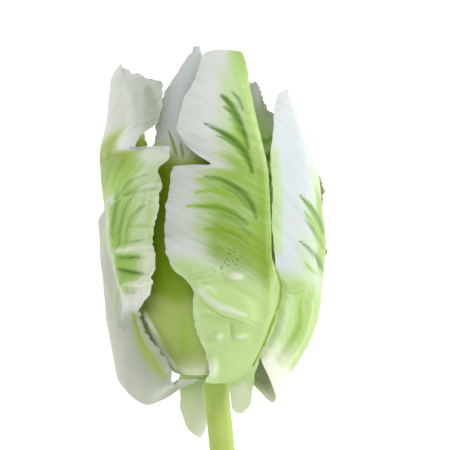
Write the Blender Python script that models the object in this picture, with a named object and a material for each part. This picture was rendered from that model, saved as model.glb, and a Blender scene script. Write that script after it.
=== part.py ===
"""One cut parrot tulip, lying on a level surface as a flower with no vase does.

The flower is first shaped upright in its own measures: height runs up the flower from the
receptacle, azimuth runs round it (0 at the front, positive to the right, seen from the front).
Every tepal is a sheet on one common cup. A point of the sheet has an azimuth, a distance along
the cup's profile from the receptacle, and a distance outwards from the cup, so tepals that
overlap differ in that last distance only. The finished pieces are then laid on their back: the
front faces up, the head points along +Y and the stalk runs back along -Y. The origin is the
middle of the small flat spot that the head rests on.
"""

import math
from dataclasses import dataclass

import bmesh
import bpy
import numpy as np

MM = 0.001

# Driving dimensions, in millimetres and degrees. Rows gather towards the base, where the lobes
# are small. A margin this far inside its rib is fully tucked, and this far outside fully flared.
BLADE_THICKNESS = 0.8
BLADE_COLUMNS = 14
BLADE_ROWS = 34
ROW_GATHER = 1.5
TUCK_DEPTH = 7.0
FLARE_DEPTH = 12.0
STEM_RADIUS = 3.5
STEM_LENGTH = 190.0
STEM_SIDES = 16
OVARY_LENGTH = 21.0
OVARY_RADIUS = 3.0
STIGMA_REACH = 4.6
STAMEN_COUNT = 6
FILAMENT_RADIUS = 0.75
FILAMENT_LENGTH = 11.0
ANTHER_RADIUS = 1.5
ANTHER_LENGTH = 13.0

# How the flower lies: the head is raised by the tilt, so that its belly and the cut end touch
TILT = math.radians(6.13)
BELLY_HEIGHT = 33.0
AXIS_ABOVE_SURFACE = 27.3
PRESS_SOFTNESS = 0.5

# The common cup of the outer whorl: radius and height along its profile
CUP_PROFILE = (
    (4.35, 1.0),
    (9.0, 0.5),
    (15.5, 2.4),
    (21.0, 8.0),
    (25.5, 17.0),
    (28.6, 29.0),
    (29.6, 42.0),
    (29.0, 54.0),
    (27.0, 66.0),
    (24.3, 77.0),
    (21.0, 88.0),
    (18.6, 95.0),
)

# Height and radius of the receptacle, and the line of the stalk: across, height, in depth
RECEPTACLE = ((5.0, 3.05), (3.2, 3.25), (1.2, 3.5), (-0.6, 3.7), (-3.0, 3.65))
STEM_LINE = (
    (0.0, 5.0, 0.0),
    (0.1, 0.0, 0.0),
    (1.1, -10.0, 0.0),
    (3.0, -30.0, 0.0),
    (6.2, -75.0, 0.0),
    (7.4, -130.0, 0.0),
    (6.0, -STEM_LENGTH, 0.0),
)


@dataclass(frozen=True)
class Tepal:
    """One tepal: its midrib, its two margins and the relief on its face.

    rib: share of the length, azimuth, distance outwards.
    left, right: share of the length, azimuth, distance along the cup, distance outwards.
    turn: how early the azimuth is reached on the left and right (1 is even, 3 is near the rib).
    steps: ledges (side, share of length from, to, share of width from, to, height of the ledge).
    wave: height of the margin's waves, their length, and where they start.
    """

    name: str
    length: float
    colour: tuple
    rib: tuple
    left: tuple
    right: tuple
    turn: tuple = (1.0, 1.0)
    steps: tuple = ()
    wave: tuple = (0.8, 14.0, 0.0)


FRONT = Tepal(
    name="outer_tepal_front",
    length=101.8,
    colour=(0.72, 0.80, 0.62),
    rib=((0, 27, 0), (0.2, 29, 0), (0.3, 30, 0), (0.54, 27.5, 0), (0.66, 26.5, 0), (0.78, 22.5, 0),
         (0.89, 17.5, 0), (1, 13, 0)),
    left=((0, -20, 0, 0), (0.05, -14, 6, 0), (0.13, -4, 16, 0), (0.165, -7, 21, 0), (0.235, -12, 30, 0),
          (0.31, -11, 38.4, 0), (0.355, -22, 44, 0), (0.42, -26.5, 51, 0), (0.5, -25, 59, 0),
          (0.62, -22, 70.3, 0), (0.638, -2, 70.8, 0), (0.675, -14, 75.3, 0), (0.73, -22, 80.9, 0),
          (0.8, -18.8, 87.7, 0), (0.88, -13.3, 93.3, 0), (0.97, -7.6, 101, 0), (1, 3, 102, 0)),
    right=((0, 70, 0, 0), (0.012, 58, 2, 3), (0.03, 45, 4, 7.2), (0.05, 47, 6, 8.4), (0.07, 49, 8.5, 7),
           (0.09, 46, 11, 4), (0.12, 41, 15, 1), (0.16, 37, 20.5, 0), (0.25, 38, 29, 0.4),
           (0.33, 39, 37.4, 0.4), (0.37, 36, 42, -0.4), (0.42, 33.5, 47, -3), (0.5, 32, 55, -7),
           (0.65, 31.5, 70, -7), (0.8, 28, 84, -5), (0.9, 24.5, 93, -1.5), (0.97, 21, 100, -0.2),
           (1, 19, 101.5, 0)),
    turn=(1.0, 2.2),
    steps=((-1, 0.27, 0.31, 0.1, 0.35, 1.3),),
    wave=(0.5, 15.0, 0.3),
)

LEFT = Tepal(
    name="outer_tepal_left",
    length=98.4,
    colour=(0.66, 0.76, 0.52),
    rib=((0, -93, 0), (0.05, -82, 3), (0.085, -73, 7), (0.12, -68, 9), (0.155, -64, 9.2),
         (0.18, -64, 7.6), (0.2, -65, 6), (0.28, -64, 2.4), (0.36, -68, 0.8), (0.44, -78, 0.3),
         (0.52, -86, -0.5), (0.6, -92, 0), (0.68, -93, 1.4), (0.75, -92, 2.4), (0.83, -90, 2.6),
         (0.9, -88, 3.5), (0.96, -86, 4), (1, -82, 3)),
    left=((0, -130, 0, 0), (0.05, -118, 6, 0.8), (0.09, -100, 11, 7.2), (0.14, -112, 16, 6.5),
          (0.2, -122, 22, 5.5), (0.3, -132, 33, 4.4), (0.4, -138, 44, 2.6), (0.5, -139, 54, 1),
          (0.6, -138, 63, 0.6), (0.7, -138, 74, 0.8), (0.8, -134, 83, 1.2), (0.88, -124, 90, 2),
          (0.95, -106, 96, 2.8), (1, -95, 98.5, 3)),
    right=((0, -50, 0, 0), (0.03, -52, 4, 0.4), (0.055, -50, 7.5, 2), (0.085, -45, 11, 5.6),
           (0.11, -38, 14, 4.6), (0.14, -38, 17, 2.4), (0.17, -40, 20, 0.9), (0.22, -45, 25, 0.3),
           (0.26, -49, 29.8, 0), (0.29, -44, 33.5, 0.1), (0.32, -34, 37.5, 0.3), (0.36, -30.5, 42, 0.3),
           (0.45, -33.5, 52, 0.3),
           (0.51, -31.5, 58.6, 0.4), (0.58, -28.5, 65.5, 0.7), (0.62, -29, 69, 1), (0.65, -22.7, 73, 1.8),
           (0.67, -24, 75.3, 1.8), (0.688, -44.5, 75, 2), (0.71, -42, 77, 2), (0.74, -38, 79, 1.7),
           (0.77, -34, 81, 1.2), (0.88, -32, 90.5, 0.8), (0.93, -35, 93.5, 0.6), (1, -46, 95.5, 1)),
    turn=(1.0, 1.0),
    steps=((1, 0.29, 0.55, 0.02, 0.12, 2.0),),
    wave=(0.6, 13.0, 0.9),
)

BACK = Tepal(
    name="outer_tepal_back",
    length=95.0,
    colour=(0.70, 0.79, 0.58),
    rib=((0, 147, 0), (0.3, 149, 0.6), (0.5, 150, 0.8), (0.7, 149, 0.4), (0.85, 149, -0.4),
         (0.93, 150, -1), (1, 152, -1.5)),
    left=((0, 104, 0, 0), (0.05, 106, 6, 0.6), (0.1, 110, 12, 2.4), (0.17, 110, 20, 2),
          (0.28, 107, 31, 1.6),
          (0.39, 104, 42, 1.4), (0.5, 105, 53, 0.9), (0.6, 105, 62, 0.6), (0.72, 108, 73, 0.3),
          (0.8, 116, 80, 0), (0.85, 132, 84.5, -0.3), (0.89, 143, 87.5, -0.6), (0.95, 146, 92, -1),
          (1, 149, 95.5, -1.5)),
    right=((0, 190, 0, 0), (0.012, 201, 2.2, 5), (0.03, 198, 4.5, 13.5), (0.05, 199, 6.5, 16.4),
           (0.068, 204, 8.2, 15.6), (0.085, 209, 10, 12), (0.105, 211, 11.5, 7), (0.13, 209, 14, 3.5),
           (0.17, 203, 18, 1.5), (0.22, 199, 24, 0.8),
           (0.3, 201, 33, 0.8), (0.45, 202, 48, 0.8), (0.6, 201, 62, 0.6), (0.75, 194, 75, 0.3),
           (0.87, 180, 85, -0.2), (0.95, 165, 92, -1), (1, 156, 95.5, -1.5)),
    wave=(0.7, 16.0, 0.2),
)

INNER_RIGHT = Tepal(
    name="inner_tepal_right",
    length=92.4,
    colour=(0.80, 0.85, 0.78),
    rib=((0, 80, -2), (0.05, 80, -1.6), (0.1, 80, 1), (0.15, 81, 2.6), (0.22, 83, 2.2), (0.32, 86, 1.8),
         (0.4, 88, 0.8), (0.46, 88, 0.2), (0.54, 88, 0.1), (0.65, 88, -1), (0.74, 87, -1.3),
         (0.82, 86, -2.1), (0.9, 84, -2.9), (0.96, 81, -3.6), (1, 76, -4.3)),
    left=((0, 35, 0, -2), (0.035, 40, 4.5, -2.4), (0.06, 49, 8, 0.5), (0.09, 54, 11.5, 8),
          (0.12, 60, 14, 5),
          (0.15, 55, 17.5, 0), (0.19, 44, 22, -3), (0.25, 40, 27, -3.6), (0.34, 40, 36, -3.6),
          (0.38, 39.5, 40, -3.4), (0.43, 37.4, 44.5, -2.9), (0.5, 35.6, 51, -2.4),
          (0.62, 34.8, 62, -2.3), (0.7, 35.2, 70, -2.2), (0.8, 38, 80, -2.4), (0.87, 41, 85, -2.8),
          (0.93, 47, 88.8, -3.4), (0.975, 55, 91.5, -4), (1, 65, 92.6, -4.3)),
    right=((0, 125, 0, -2), (0.06, 118, 7, -2.4), (0.2, 125, 18, -3.2), (0.4, 127, 37, -3.8),
           (0.55, 128, 51, -3.8), (0.7, 124, 66, -3.8), (0.82, 115, 76, -4), (0.92, 104, 85, -4.2),
           (0.98, 92, 91, -4.4), (1, 84, 92.4, -4.4)),
    steps=((-1, 0.38, 1.2, 0.25, 0.6, 1.1),),
    wave=(0.5, 17.0, 0.5),
)

INNER_FRONT = Tepal(
    name="inner_tepal_front",
    length=103.4,
    colour=(0.55, 0.70, 0.32),
    rib=((0, -30, -2), (0.08, -27, -2.3), (0.2, -24, -3), (0.3, -23, -3.2), (0.45, -23, -3.4),
         (0.6, -21, -3.4), (0.75, -18.5, -3), (0.87, -15.5, -2.2), (1, -13.5, -1.2)),
    left=((0, -70, 0, -2), (0.04, -64, 5, -2), (0.08, -55, 10, -1.8), (0.13, -48, 15, -1.8),
          (0.18, -49, 21, -2), (0.24, -50, 28, -2.2), (0.27, -51, 31, -2.6), (0.3, -57, 34, -3.6),
          (0.36, -62, 42, -3.9), (0.5, -62, 56, -4), (0.6, -58, 66, -3.8), (0.65, -48, 71, -3.2),
          (0.68, -41.5, 74, -3), (0.75, -41, 81, -3), (0.82, -40, 87, -2.8), (0.87, -37.5, 91, -2.4),
          (0.91, -33.5, 93.5, -2), (0.96, -23.5, 99, -1.6), (1, -15.5, 103.5, -1.2)),
    right=((0, 12, 0, -2), (0.08, 14, 9, -2.4), (0.2, 16, 24, -3.4), (0.35, 17, 40, -3.6),
           (0.5, 17, 56, -3.6), (0.65, 14, 72, -3.6), (0.8, 5, 86, -3), (0.9, -4, 95, -2.2),
           (0.97, -10, 101, -1.6), (1, -12, 103.5, -1.2)),
    wave=(0.4, 14.0, 0.1),
)

INNER_BACK = Tepal(
    name="inner_tepal_back",
    length=96.6,
    colour=(0.74, 0.81, 0.66),
    rib=((0, -150, -2), (0.1, -150, -2.4), (0.25, -147, -3), (0.4, -149, -3.7), (0.6, -152, -3.9),
         (0.75, -155, -3.8), (0.9, -159, -3.6), (1, -160, -3.2)),
    left=((0, -192, 0, -2), (0.1, -188, 11, -2.4), (0.3, -189, 32, -3.4), (0.5, -189, 52, -3.8),
          (0.7, -186, 71, -3.8), (0.85, -177, 85, -3.6), (0.95, -168, 93, -3.4), (1, -163, 96.8, -3.2)),
    right=((0, -108, 0, -2), (0.1, -112, 11, -2.4), (0.3, -110, 31, -3.2), (0.5, -110, 52, -3.8),
           (0.58, -116, 60, -3.8), (0.64, -134, 66, -3.6), (0.7, -139, 72, -3.6), (0.8, -142, 81, -3.6),
           (0.9, -148, 90, -3.4), (1, -156, 96.8, -3.2)),
    wave=(0.5, 15.0, 0.7),
)

TEPALS = (FRONT, LEFT, BACK, INNER_RIGHT, INNER_FRONT, INNER_BACK)


def smooth(points, x):
    """Value at x of a curve through (x, y) points that never overshoots them."""
    xs, ys = np.array(points, dtype=float).T
    gaps = np.diff(xs)
    slopes = np.diff(ys) / gaps
    inner = np.where(slopes[:-1] * slopes[1:] > 0,
                     2 * slopes[:-1] * slopes[1:] / np.where(slopes[:-1] + slopes[1:] == 0, 1,
                                                             slopes[:-1] + slopes[1:]), 0.0)
    tangents = np.concatenate(([slopes[0]], inner, [slopes[-1]]))
    at = np.clip(np.searchsorted(xs, x, side="right") - 1, 0, len(xs) - 2)
    share = np.clip((x - xs[at]) / gaps[at], 0.0, 1.0)
    rise = share ** 2 * (3 - 2 * share)
    lead = share * (1 - share) ** 2 * tangents[at]
    trail = share ** 2 * (share - 1) * tangents[at + 1]
    return ys[at] * (1 - rise) + ys[at + 1] * rise + gaps[at] * (lead + trail)


def ramp(x, low, high):
    """0 below low, 1 above high and a soft slope between them."""
    share = np.clip((x - low) / (high - low), 0.0, 1.0)
    return share ** 2 * (3 - 2 * share)


def cup_point(along, outwards):
    """Radius and height of a point at a distance along the cup and outwards from it."""
    profile = np.array(CUP_PROFILE)
    reach = np.concatenate(([0.0], np.cumsum(np.hypot(*np.diff(profile, axis=0).T))))
    radii = np.column_stack((reach, profile[:, 0]))
    heights = np.column_stack((reach, profile[:, 1]))
    step = 0.5
    radius = smooth(radii, along)
    height = smooth(heights, along)
    run = smooth(radii, along + step) - smooth(radii, along - step)
    climb = smooth(heights, along + step) - smooth(heights, along - step)
    length = np.hypot(run, climb)
    return radius + outwards * climb / length, height - outwards * run / length


def blade_points(tepal, across, share):
    """Points of a tepal's middle surface for across in -1..1 and share in 0..1."""
    side = np.abs(across)
    on_left = across < 0
    rows = [np.array(tepal.rib), np.array(tepal.left), np.array(tepal.right)]
    rib_azimuth, rib_out = (smooth(rows[0][:, (0, k)], share) for k in (1, 2))
    edges = [[smooth(row[:, (0, k)], share) for k in (1, 2, 3)] for row in rows[1:]]
    edge_azimuth, edge_along, edge_out = (np.where(on_left, edges[0][k], edges[1][k]) for k in range(3))
    tuck = np.clip((rib_out - edge_out) / TUCK_DEPTH, 0.0, 1.0)
    turn = 1 + tuck * np.where(on_left, tepal.turn[0] - 1, tepal.turn[1] - 1)
    azimuth = rib_azimuth + (edge_azimuth - rib_azimuth) * (1 - (1 - side) ** turn)
    rib_along = tepal.length * share
    along = rib_along + (edge_along - rib_along) * (1 - (1 - side) ** 1.8)
    flare = np.clip((edge_out - rib_out) / FLARE_DEPTH, 0.0, 1.0)
    outwards = rib_out + (edge_out - rib_out) * side ** (1 + 0.5 * (turn - 1) + 1.3 * flare)
    for which, start, end, near, far, height in tepal.steps:
        window = ramp(share, start - 0.04, start) * (1 - ramp(share, end, end + 0.04))
        outwards = outwards + height * window * np.where(across * which > 0, ramp(side, near, far), 0.0)
    wave_height, wave_length, wave_start = tepal.wave
    ends = ramp(share, 0.12, 0.35) * (1 - 0.5 * ramp(share, 0.9, 1.0))
    phase = 2 * math.pi * (along / wave_length + wave_start) + np.where(on_left, 0.0, 1.9)
    outwards = outwards + wave_height * ends * side ** 2.2 * np.sin(phase)
    radius, height = cup_point(along, outwards)
    turned = np.radians(azimuth)
    return np.stack((radius * np.sin(turned), height, radius * np.cos(turned)), axis=-1)


def lay_down(points, half_thickness=0.0, pressed=False):
    """Turn upright points in millimetres into metres as they lie, pressed flat where they rest."""
    points = np.asarray(points, dtype=float)
    x, y, z = points[..., 0], points[..., 1] - BELLY_HEIGHT, points[..., 2]
    flat_y = y * math.cos(TILT) - z * math.sin(TILT)
    up = y * math.sin(TILT) + z * math.cos(TILT) + AXIS_ABOVE_SURFACE
    if pressed:
        depth = up - half_thickness
        eased = (depth + PRESS_SOFTNESS) ** 2 / (4 * PRESS_SOFTNESS)
        soft = np.where(np.abs(depth) < PRESS_SOFTNESS, eased, np.maximum(depth, 0.0))
        up = soft + half_thickness
    return np.stack((x, flat_y, up), axis=-1) * MM


def clear_scene():
    """Start from an empty scene."""
    for item in list(bpy.data.objects):
        bpy.data.objects.remove(item)


def surface_material(name, colour, roughness):
    """A plain Principled material."""
    material = bpy.data.materials.new(name)
    material.use_nodes = True
    shader = material.node_tree.nodes["Principled BSDF"]
    shader.inputs["Base Color"].default_value = (*colour, 1.0)
    shader.inputs["Roughness"].default_value = roughness
    shader.inputs["Metallic"].default_value = 0.0
    return material


def add_object(name, mesh, colour, roughness=0.55):
    """Link a mesh as a named object with a material of its own."""
    item = bpy.data.objects.new(name, mesh)
    bpy.context.scene.collection.objects.link(item)
    mesh.materials.append(surface_material(name, colour, roughness))
    mesh.shade_smooth()
    return item


def make_tepal(tepal):
    """A tepal: a grid shaped by its formula, split into triangles, then thickened."""
    form = bmesh.new()
    bmesh.ops.create_grid(form, x_segments=BLADE_COLUMNS, y_segments=BLADE_ROWS, size=1.0)
    flat = np.array([vertex.co for vertex in form.verts])
    shaped = blade_points(tepal, flat[:, 0], ((flat[:, 1] + 1) / 2) ** ROW_GATHER)
    laid = lay_down(shaped, BLADE_THICKNESS / 2, pressed=True)
    for vertex, place in zip(form.verts, laid):
        vertex.co = place
    for face in form.faces:
        face.normal_update()
    mesh = bpy.data.meshes.new(tepal.name)
    form.to_mesh(mesh)
    form.free()
    item = add_object(tepal.name, mesh, tepal.colour)
    split = item.modifiers.new("Triangles", "TRIANGULATE")
    split.quad_method = "FIXED"
    wall = item.modifiers.new("Thickness", "SOLIDIFY")
    wall.thickness = BLADE_THICKNESS * MM
    wall.offset = 0.0
    return item


def sweep(rings, sides):
    """A closed mesh through rings, each a centre, two side directions and a radius."""
    form = bmesh.new()
    loops = []
    for centre, sideways, upwards, radius in rings:
        loop = []
        for k in range(sides):
            angle = 2 * math.pi * k / sides
            spread = np.array(sideways) * math.cos(angle) + np.array(upwards) * math.sin(angle)
            loop.append(form.verts.new(np.array(centre) + radius * spread))
        loops.append(loop)
    for low, high in zip(loops, loops[1:]):
        for k in range(sides):
            form.faces.new((low[k], low[(k + 1) % sides], high[(k + 1) % sides], high[k]))
    form.faces.new(list(reversed(loops[0])))
    form.faces.new(loops[-1])
    bmesh.ops.recalc_face_normals(form, faces=form.faces)
    return form


def finish_form(form, name, colour, roughness=0.55):
    """Lay a solid's vertices down and make it an object."""
    for vertex in form.verts:
        vertex.co = lay_down(np.array(vertex.co))
    mesh = bpy.data.meshes.new(name)
    form.to_mesh(mesh)
    form.free()
    return add_object(name, mesh, colour, roughness)


def make_stem():
    """The stalk and the receptacle at its top, as one turned and bent solid."""
    line = np.array(STEM_LINE)
    heights = [height for height, _ in RECEPTACLE]
    heights += list(np.linspace(-6.0, -STEM_LENGTH, 30))
    centre_x = line[::-1, (1, 0)]
    radius_points = [(-STEM_LENGTH, STEM_RADIUS), (-8.0, STEM_RADIUS)]
    radius_points += [(height, radius) for height, radius in reversed(RECEPTACLE)]
    rings = []
    for height in heights:
        x = float(smooth(centre_x, np.array(height)))
        ahead = float(smooth(centre_x, np.array(min(height + 1.0, 5.0))))
        behind = float(smooth(centre_x, np.array(max(height - 1.0, -STEM_LENGTH))))
        lean = math.atan2(ahead - behind, 2.0)
        across = (math.cos(lean), -math.sin(lean), 0.0)
        radius = float(smooth(radius_points, np.array(height)))
        rings.append(((x, height, 0.0), across, (0.0, 0.0, 1.0), radius))
    form = sweep(rings, STEM_SIDES)
    return finish_form(form, "stem", (0.50, 0.66, 0.20), 0.45)


def make_pistil():
    """The ovary, three-sided and swollen, under a stigma of three spreading lobes."""
    form = bmesh.new()
    sides = 18
    stations = ((5.4, 2.1, 0.0), (8.0, 2.7, 0.15), (14.0, OVARY_RADIUS, 0.2), (21.0, 2.7, 0.2),
                (5.4 + OVARY_LENGTH - 3.0, 2.0, 0.15), (5.4 + OVARY_LENGTH - 1.2, 2.4, 0.3),
                (5.4 + OVARY_LENGTH, STIGMA_REACH - 0.6, 0.45),
                (5.4 + OVARY_LENGTH + 1.4, STIGMA_REACH - 0.9, 0.5),
                (5.4 + OVARY_LENGTH + 1.7, 1.6, 0.4))
    loops = []
    for height, radius, lobing in stations:
        loop = []
        for k in range(sides):
            angle = 2 * math.pi * k / sides
            reach = radius * (1 - lobing * 0.5 * (1 - math.cos(3 * angle)))
            loop.append(form.verts.new((reach * math.sin(angle), height, reach * math.cos(angle))))
        loops.append(loop)
    for low, high in zip(loops, loops[1:]):
        for k in range(sides):
            form.faces.new((low[k], low[(k + 1) % sides], high[(k + 1) % sides], high[k]))
    form.faces.new(list(reversed(loops[0])))
    form.faces.new(loops[-1])
    bmesh.ops.recalc_face_normals(form, faces=form.faces)
    return finish_form(form, "pistil", (0.62, 0.74, 0.36))


def stamen_form(azimuth):
    """One stamen: a tapering filament that leans outwards under a slim anther."""
    start = np.array((3.75, 5.9))
    foot = np.array((6.2, 5.9 + FILAMENT_LENGTH))
    tip = np.array((8.0, 5.9 + FILAMENT_LENGTH + ANTHER_LENGTH))
    places = [(start, FILAMENT_RADIUS * 1.25), (start * 0.5 + foot * 0.5, FILAMENT_RADIUS),
              (foot, FILAMENT_RADIUS * 0.75)]
    for share, fullness in ((0.02, 0.7), (0.15, 0.95), (0.5, 1.0), (0.85, 0.9), (1.0, 0.45)):
        places.append((foot + (tip - foot) * share, ANTHER_RADIUS * fullness))
    turned = math.radians(azimuth)
    outwards = np.array((math.sin(turned), 0.0, math.cos(turned)))
    sideways = np.array((math.cos(turned), 0.0, -math.sin(turned)))
    rings = [(outwards * place[0] + np.array((0.0, place[1], 0.0)), sideways, outwards, radius)
             for place, radius in places]
    return sweep(rings, 8)


def make_stamens():
    """Six stamens fused to the thin ring that they grow from round the pistil's foot."""
    ring = bmesh.new()
    sides = 24
    section = ((2.75, 5.4), (4.5, 5.4), (4.5, 6.5), (2.75, 6.5))
    loops = []
    for radius, height in section:
        loops.append([ring.verts.new((radius * math.sin(2 * math.pi * k / sides), height,
                                      radius * math.cos(2 * math.pi * k / sides))) for k in range(sides)])
    for first, second in zip(loops, loops[1:] + loops[:1]):
        for k in range(sides):
            ring.faces.new((first[k], first[(k + 1) % sides], second[(k + 1) % sides], second[k]))
    bmesh.ops.recalc_face_normals(ring, faces=ring.faces)
    body = finish_form(ring, "stamens", (0.86, 0.80, 0.45))
    parts = bpy.data.collections.new("stamen parts")
    bpy.context.scene.collection.children.link(parts)
    for k in range(STAMEN_COUNT):
        azimuth = 30.0 + 360.0 * k / STAMEN_COUNT
        part = finish_form(stamen_form(azimuth), f"stamen_{k}", (0.86, 0.80, 0.45))
        bpy.context.scene.collection.objects.unlink(part)
        parts.objects.link(part)
    union = body.modifiers.new("Union", "BOOLEAN")
    union.operation = "UNION"
    union.operand_type = "COLLECTION"
    union.collection = parts
    union.solver = "EXACT"
    bpy.context.view_layer.objects.active = body
    bpy.ops.object.modifier_apply(modifier=union.name)
    for part in list(parts.objects):
        bpy.data.objects.remove(part)
    bpy.data.collections.remove(parts)
    return body


def main():
    """Build the flower."""
    clear_scene()
    make_stem()
    for tepal in TEPALS:
        make_tepal(tepal)
    make_pistil()
    make_stamens()


main()
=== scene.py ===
"""The looks of a cut parrot tulip that lies on its back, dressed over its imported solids.

The flower is shaped upright in millimetres, as its solids are: height runs up the flower from the
receptacle, azimuth runs round it (0 at the front, positive to the right), and a tepal's point lies
some way along the cup's profile and some way outwards from it. The finished pieces are then laid
down in metres, with the front up and the tips towards +Y. Marks and folds that show from the front
are placed where the view from the front shows them.
"""
from __future__ import annotations

import logging
import math
from collections.abc import Callable
from dataclasses import dataclass
from enum import Enum

import bpy
import numpy as np
from mathutils import Matrix, Vector

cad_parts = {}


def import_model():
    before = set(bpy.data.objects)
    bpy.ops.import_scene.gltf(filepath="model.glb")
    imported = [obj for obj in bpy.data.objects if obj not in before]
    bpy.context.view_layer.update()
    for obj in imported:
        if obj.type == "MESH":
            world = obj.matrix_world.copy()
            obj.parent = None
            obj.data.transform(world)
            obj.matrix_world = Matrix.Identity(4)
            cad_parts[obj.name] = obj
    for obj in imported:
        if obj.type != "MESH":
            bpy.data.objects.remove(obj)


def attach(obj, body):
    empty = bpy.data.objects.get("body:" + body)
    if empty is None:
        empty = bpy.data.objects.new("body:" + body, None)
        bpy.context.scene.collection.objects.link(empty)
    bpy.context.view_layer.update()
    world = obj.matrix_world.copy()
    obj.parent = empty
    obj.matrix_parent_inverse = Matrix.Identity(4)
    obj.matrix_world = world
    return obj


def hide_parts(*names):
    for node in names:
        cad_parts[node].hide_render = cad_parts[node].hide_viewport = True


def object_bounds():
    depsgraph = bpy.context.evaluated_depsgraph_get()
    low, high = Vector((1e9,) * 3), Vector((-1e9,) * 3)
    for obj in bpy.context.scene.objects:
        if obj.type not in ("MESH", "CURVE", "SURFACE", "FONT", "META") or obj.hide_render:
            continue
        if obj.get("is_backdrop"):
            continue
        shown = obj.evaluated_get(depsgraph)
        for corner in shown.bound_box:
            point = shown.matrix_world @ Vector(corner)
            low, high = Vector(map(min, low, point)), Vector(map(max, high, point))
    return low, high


LOG = logging.getLogger("parrot_tulip")
BODY = "root"
MM = 0.001
MERGE = 1e-6

# The view from the front: millimetres in each pixel of the picture, and what its middle shows
PIXEL = 0.268
PICTURE_MIDDLE = 225.0
VIEW_CENTRE = (2.7, 42.3)
VIEW_DISTANCE = 900.0

# How the flower lies, as its solids do
TILT = math.radians(6.13)
BELLY_HEIGHT = 33.0
AXIS_ABOVE_SURFACE = 27.3
PRESS_SOFTNESS = 0.5

# The stalk's heights with its line's distance across, and the common cup's radii with their heights
STALK_LENGTH = 190.0
STALK_RADIUS = 3.5
STALK_LINE = ((5.0, 0.0), (0.0, 0.1), (-10.0, 1.1), (-30.0, 3.0), (-75.0, 6.2), (-130.0, 7.4),
              (-190.0, 6.0))
CUP_PROFILE = ((4.35, 1.0), (9.0, 0.5), (15.5, 2.4), (21.0, 8.0), (25.5, 17.0), (28.6, 29.0),
               (29.6, 42.0), (29.0, 54.0), (27.0, 66.0), (24.3, 77.0), (21.0, 88.0), (18.6, 95.0))

# How a blade runs from its midrib to its margins, and how its margins wave and fray
TUCK_DEPTH = 7.0
FLARE_DEPTH = 12.0
MARGIN_SWEEP = 1.8
FLARE_CURVE = 1.3
TOP_START = 0.88
LEDGE_SOFTNESS = 0.02
WAVE_GROWTH = 2.2
WAVE_LAG = 1.9
FRINGE_GROWTH = 8
LEAST_RADIUS = 5.0
RUFFLE_GROWTH = 3.5
BROAD_PLEAT = (0.08, 9.0)
VEIN_CURVE = 0.004

Spot = tuple[float, float]


class Tint(Enum):
    """The tints laid one over the other on a tepal's white, in this order. Grey is painted shade; olive,
    deep green and dark flame are the tissue's own greens and also painted shade in creases, gaps and
    under folds; pale is the tissue's own paleness and also painted highlights and painted light on parts
    in shade.
    """

    PAINTED_SHADE_GREY = "painted_shade_grey"
    OLIVE_AND_PAINTED_SHADE = "olive_and_painted_shade"
    LIME = "lime"
    GREEN = "green"
    DEEP_AND_PAINTED_SHADE = "deep_and_painted_shade"
    FLAME_AND_PAINTED_SHADE = "dark_flame_and_painted_shade"
    PALE_AND_PAINTED_LIGHT = "pale"


class Slot(Enum):
    """The record's material slots."""

    STALK = "stalk"
    OUTER = "outer_tepal"
    INNER = "inner_tepal"
    PISTIL = "pistil"
    STAMENS = "stamens"


def linear(red: int, green: int, blue: int) -> tuple[float, float, float, float]:
    """Turn a colour as a screen shows it into the shader's linear values.

    Args:
        red: the red part, 0 to 255.
        green: the green part.
        blue: the blue part.

    Returns:
        The linear colour, with an alpha of 1.
    """
    shares = [value / 255 for value in (red, green, blue)]
    light = [s / 12.92 if s <= 0.04045 else ((s + 0.055) / 1.055) ** 2.4 for s in shares]
    return light[0], light[1], light[2], 1.0


def smooth(points: tuple, x: np.ndarray) -> np.ndarray:
    """Follow a curve through points that never overshoots them.

    Args:
        points: (x, y) pairs in rising x.
        x: where the curve is read.

    Returns:
        The curve's y there.
    """
    xs, ys = np.array(points, dtype=float).T
    gaps = np.diff(xs)
    slopes = np.diff(ys) / gaps
    total = slopes[:-1] + slopes[1:]
    product = slopes[:-1] * slopes[1:]
    inner = np.where(product > 0, 2 * product / np.where(total == 0, 1.0, total), 0.0)
    tangents = np.concatenate(([slopes[0]], inner, [slopes[-1]]))
    at = np.clip(np.searchsorted(xs, x, side="right") - 1, 0, len(xs) - 2)
    share = np.clip((x - xs[at]) / gaps[at], 0.0, 1.0)
    rise = share ** 2 * (3 - 2 * share)
    lead = share * (1 - share) ** 2 * tangents[at]
    trail = share ** 2 * (share - 1) * tangents[at + 1]
    return ys[at] * (1 - rise) + ys[at + 1] * rise + gaps[at] * (lead + trail)


def ramp(x: np.ndarray, low: float, high: float) -> np.ndarray:
    """Rise softly from 0 at low to 1 at high."""
    share = np.clip((x - low) / (high - low), 0.0, 1.0)
    return share ** 2 * (3 - 2 * share)


def window(x: np.ndarray, span: tuple[float, float, float, float]) -> np.ndarray:
    """Be 1 between the span's two middle values and fade to 0 at its outer ones."""
    return ramp(x, span[0], span[1]) * (1 - ramp(x, span[2], span[3]))


def ripple(x: np.ndarray, seed: float) -> np.ndarray:
    """Give an uneven wave between about -1 and 1, the same each run for a seed."""
    return (np.sin(x + seed) + np.sin(1.73 * x + 2.1 * seed) + 0.7 * np.sin(2.91 * x + 3.3 * seed)) / 2.2


def seen(*pixels: Spot) -> tuple[Spot, ...]:
    """Turn pixels of the picture into millimetres across and up the flower's middle plane."""
    return tuple(
        ((x - PICTURE_MIDDLE) * PIXEL + VIEW_CENTRE[0], (PICTURE_MIDDLE - y) * PIXEL + VIEW_CENTRE[1])
        for x, y in pixels
    )


def as_seen(points: np.ndarray) -> np.ndarray:
    """Move upright points to where the view from the front shows them in the middle plane.

    Args:
        points: upright points in millimetres.

    Returns:
        Their places across and up the middle plane.
    """
    centre = np.array(VIEW_CENTRE)
    scale = VIEW_DISTANCE / (VIEW_DISTANCE - points[:, 2:])
    return centre + (points[:, :2] - centre) * scale


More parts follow.
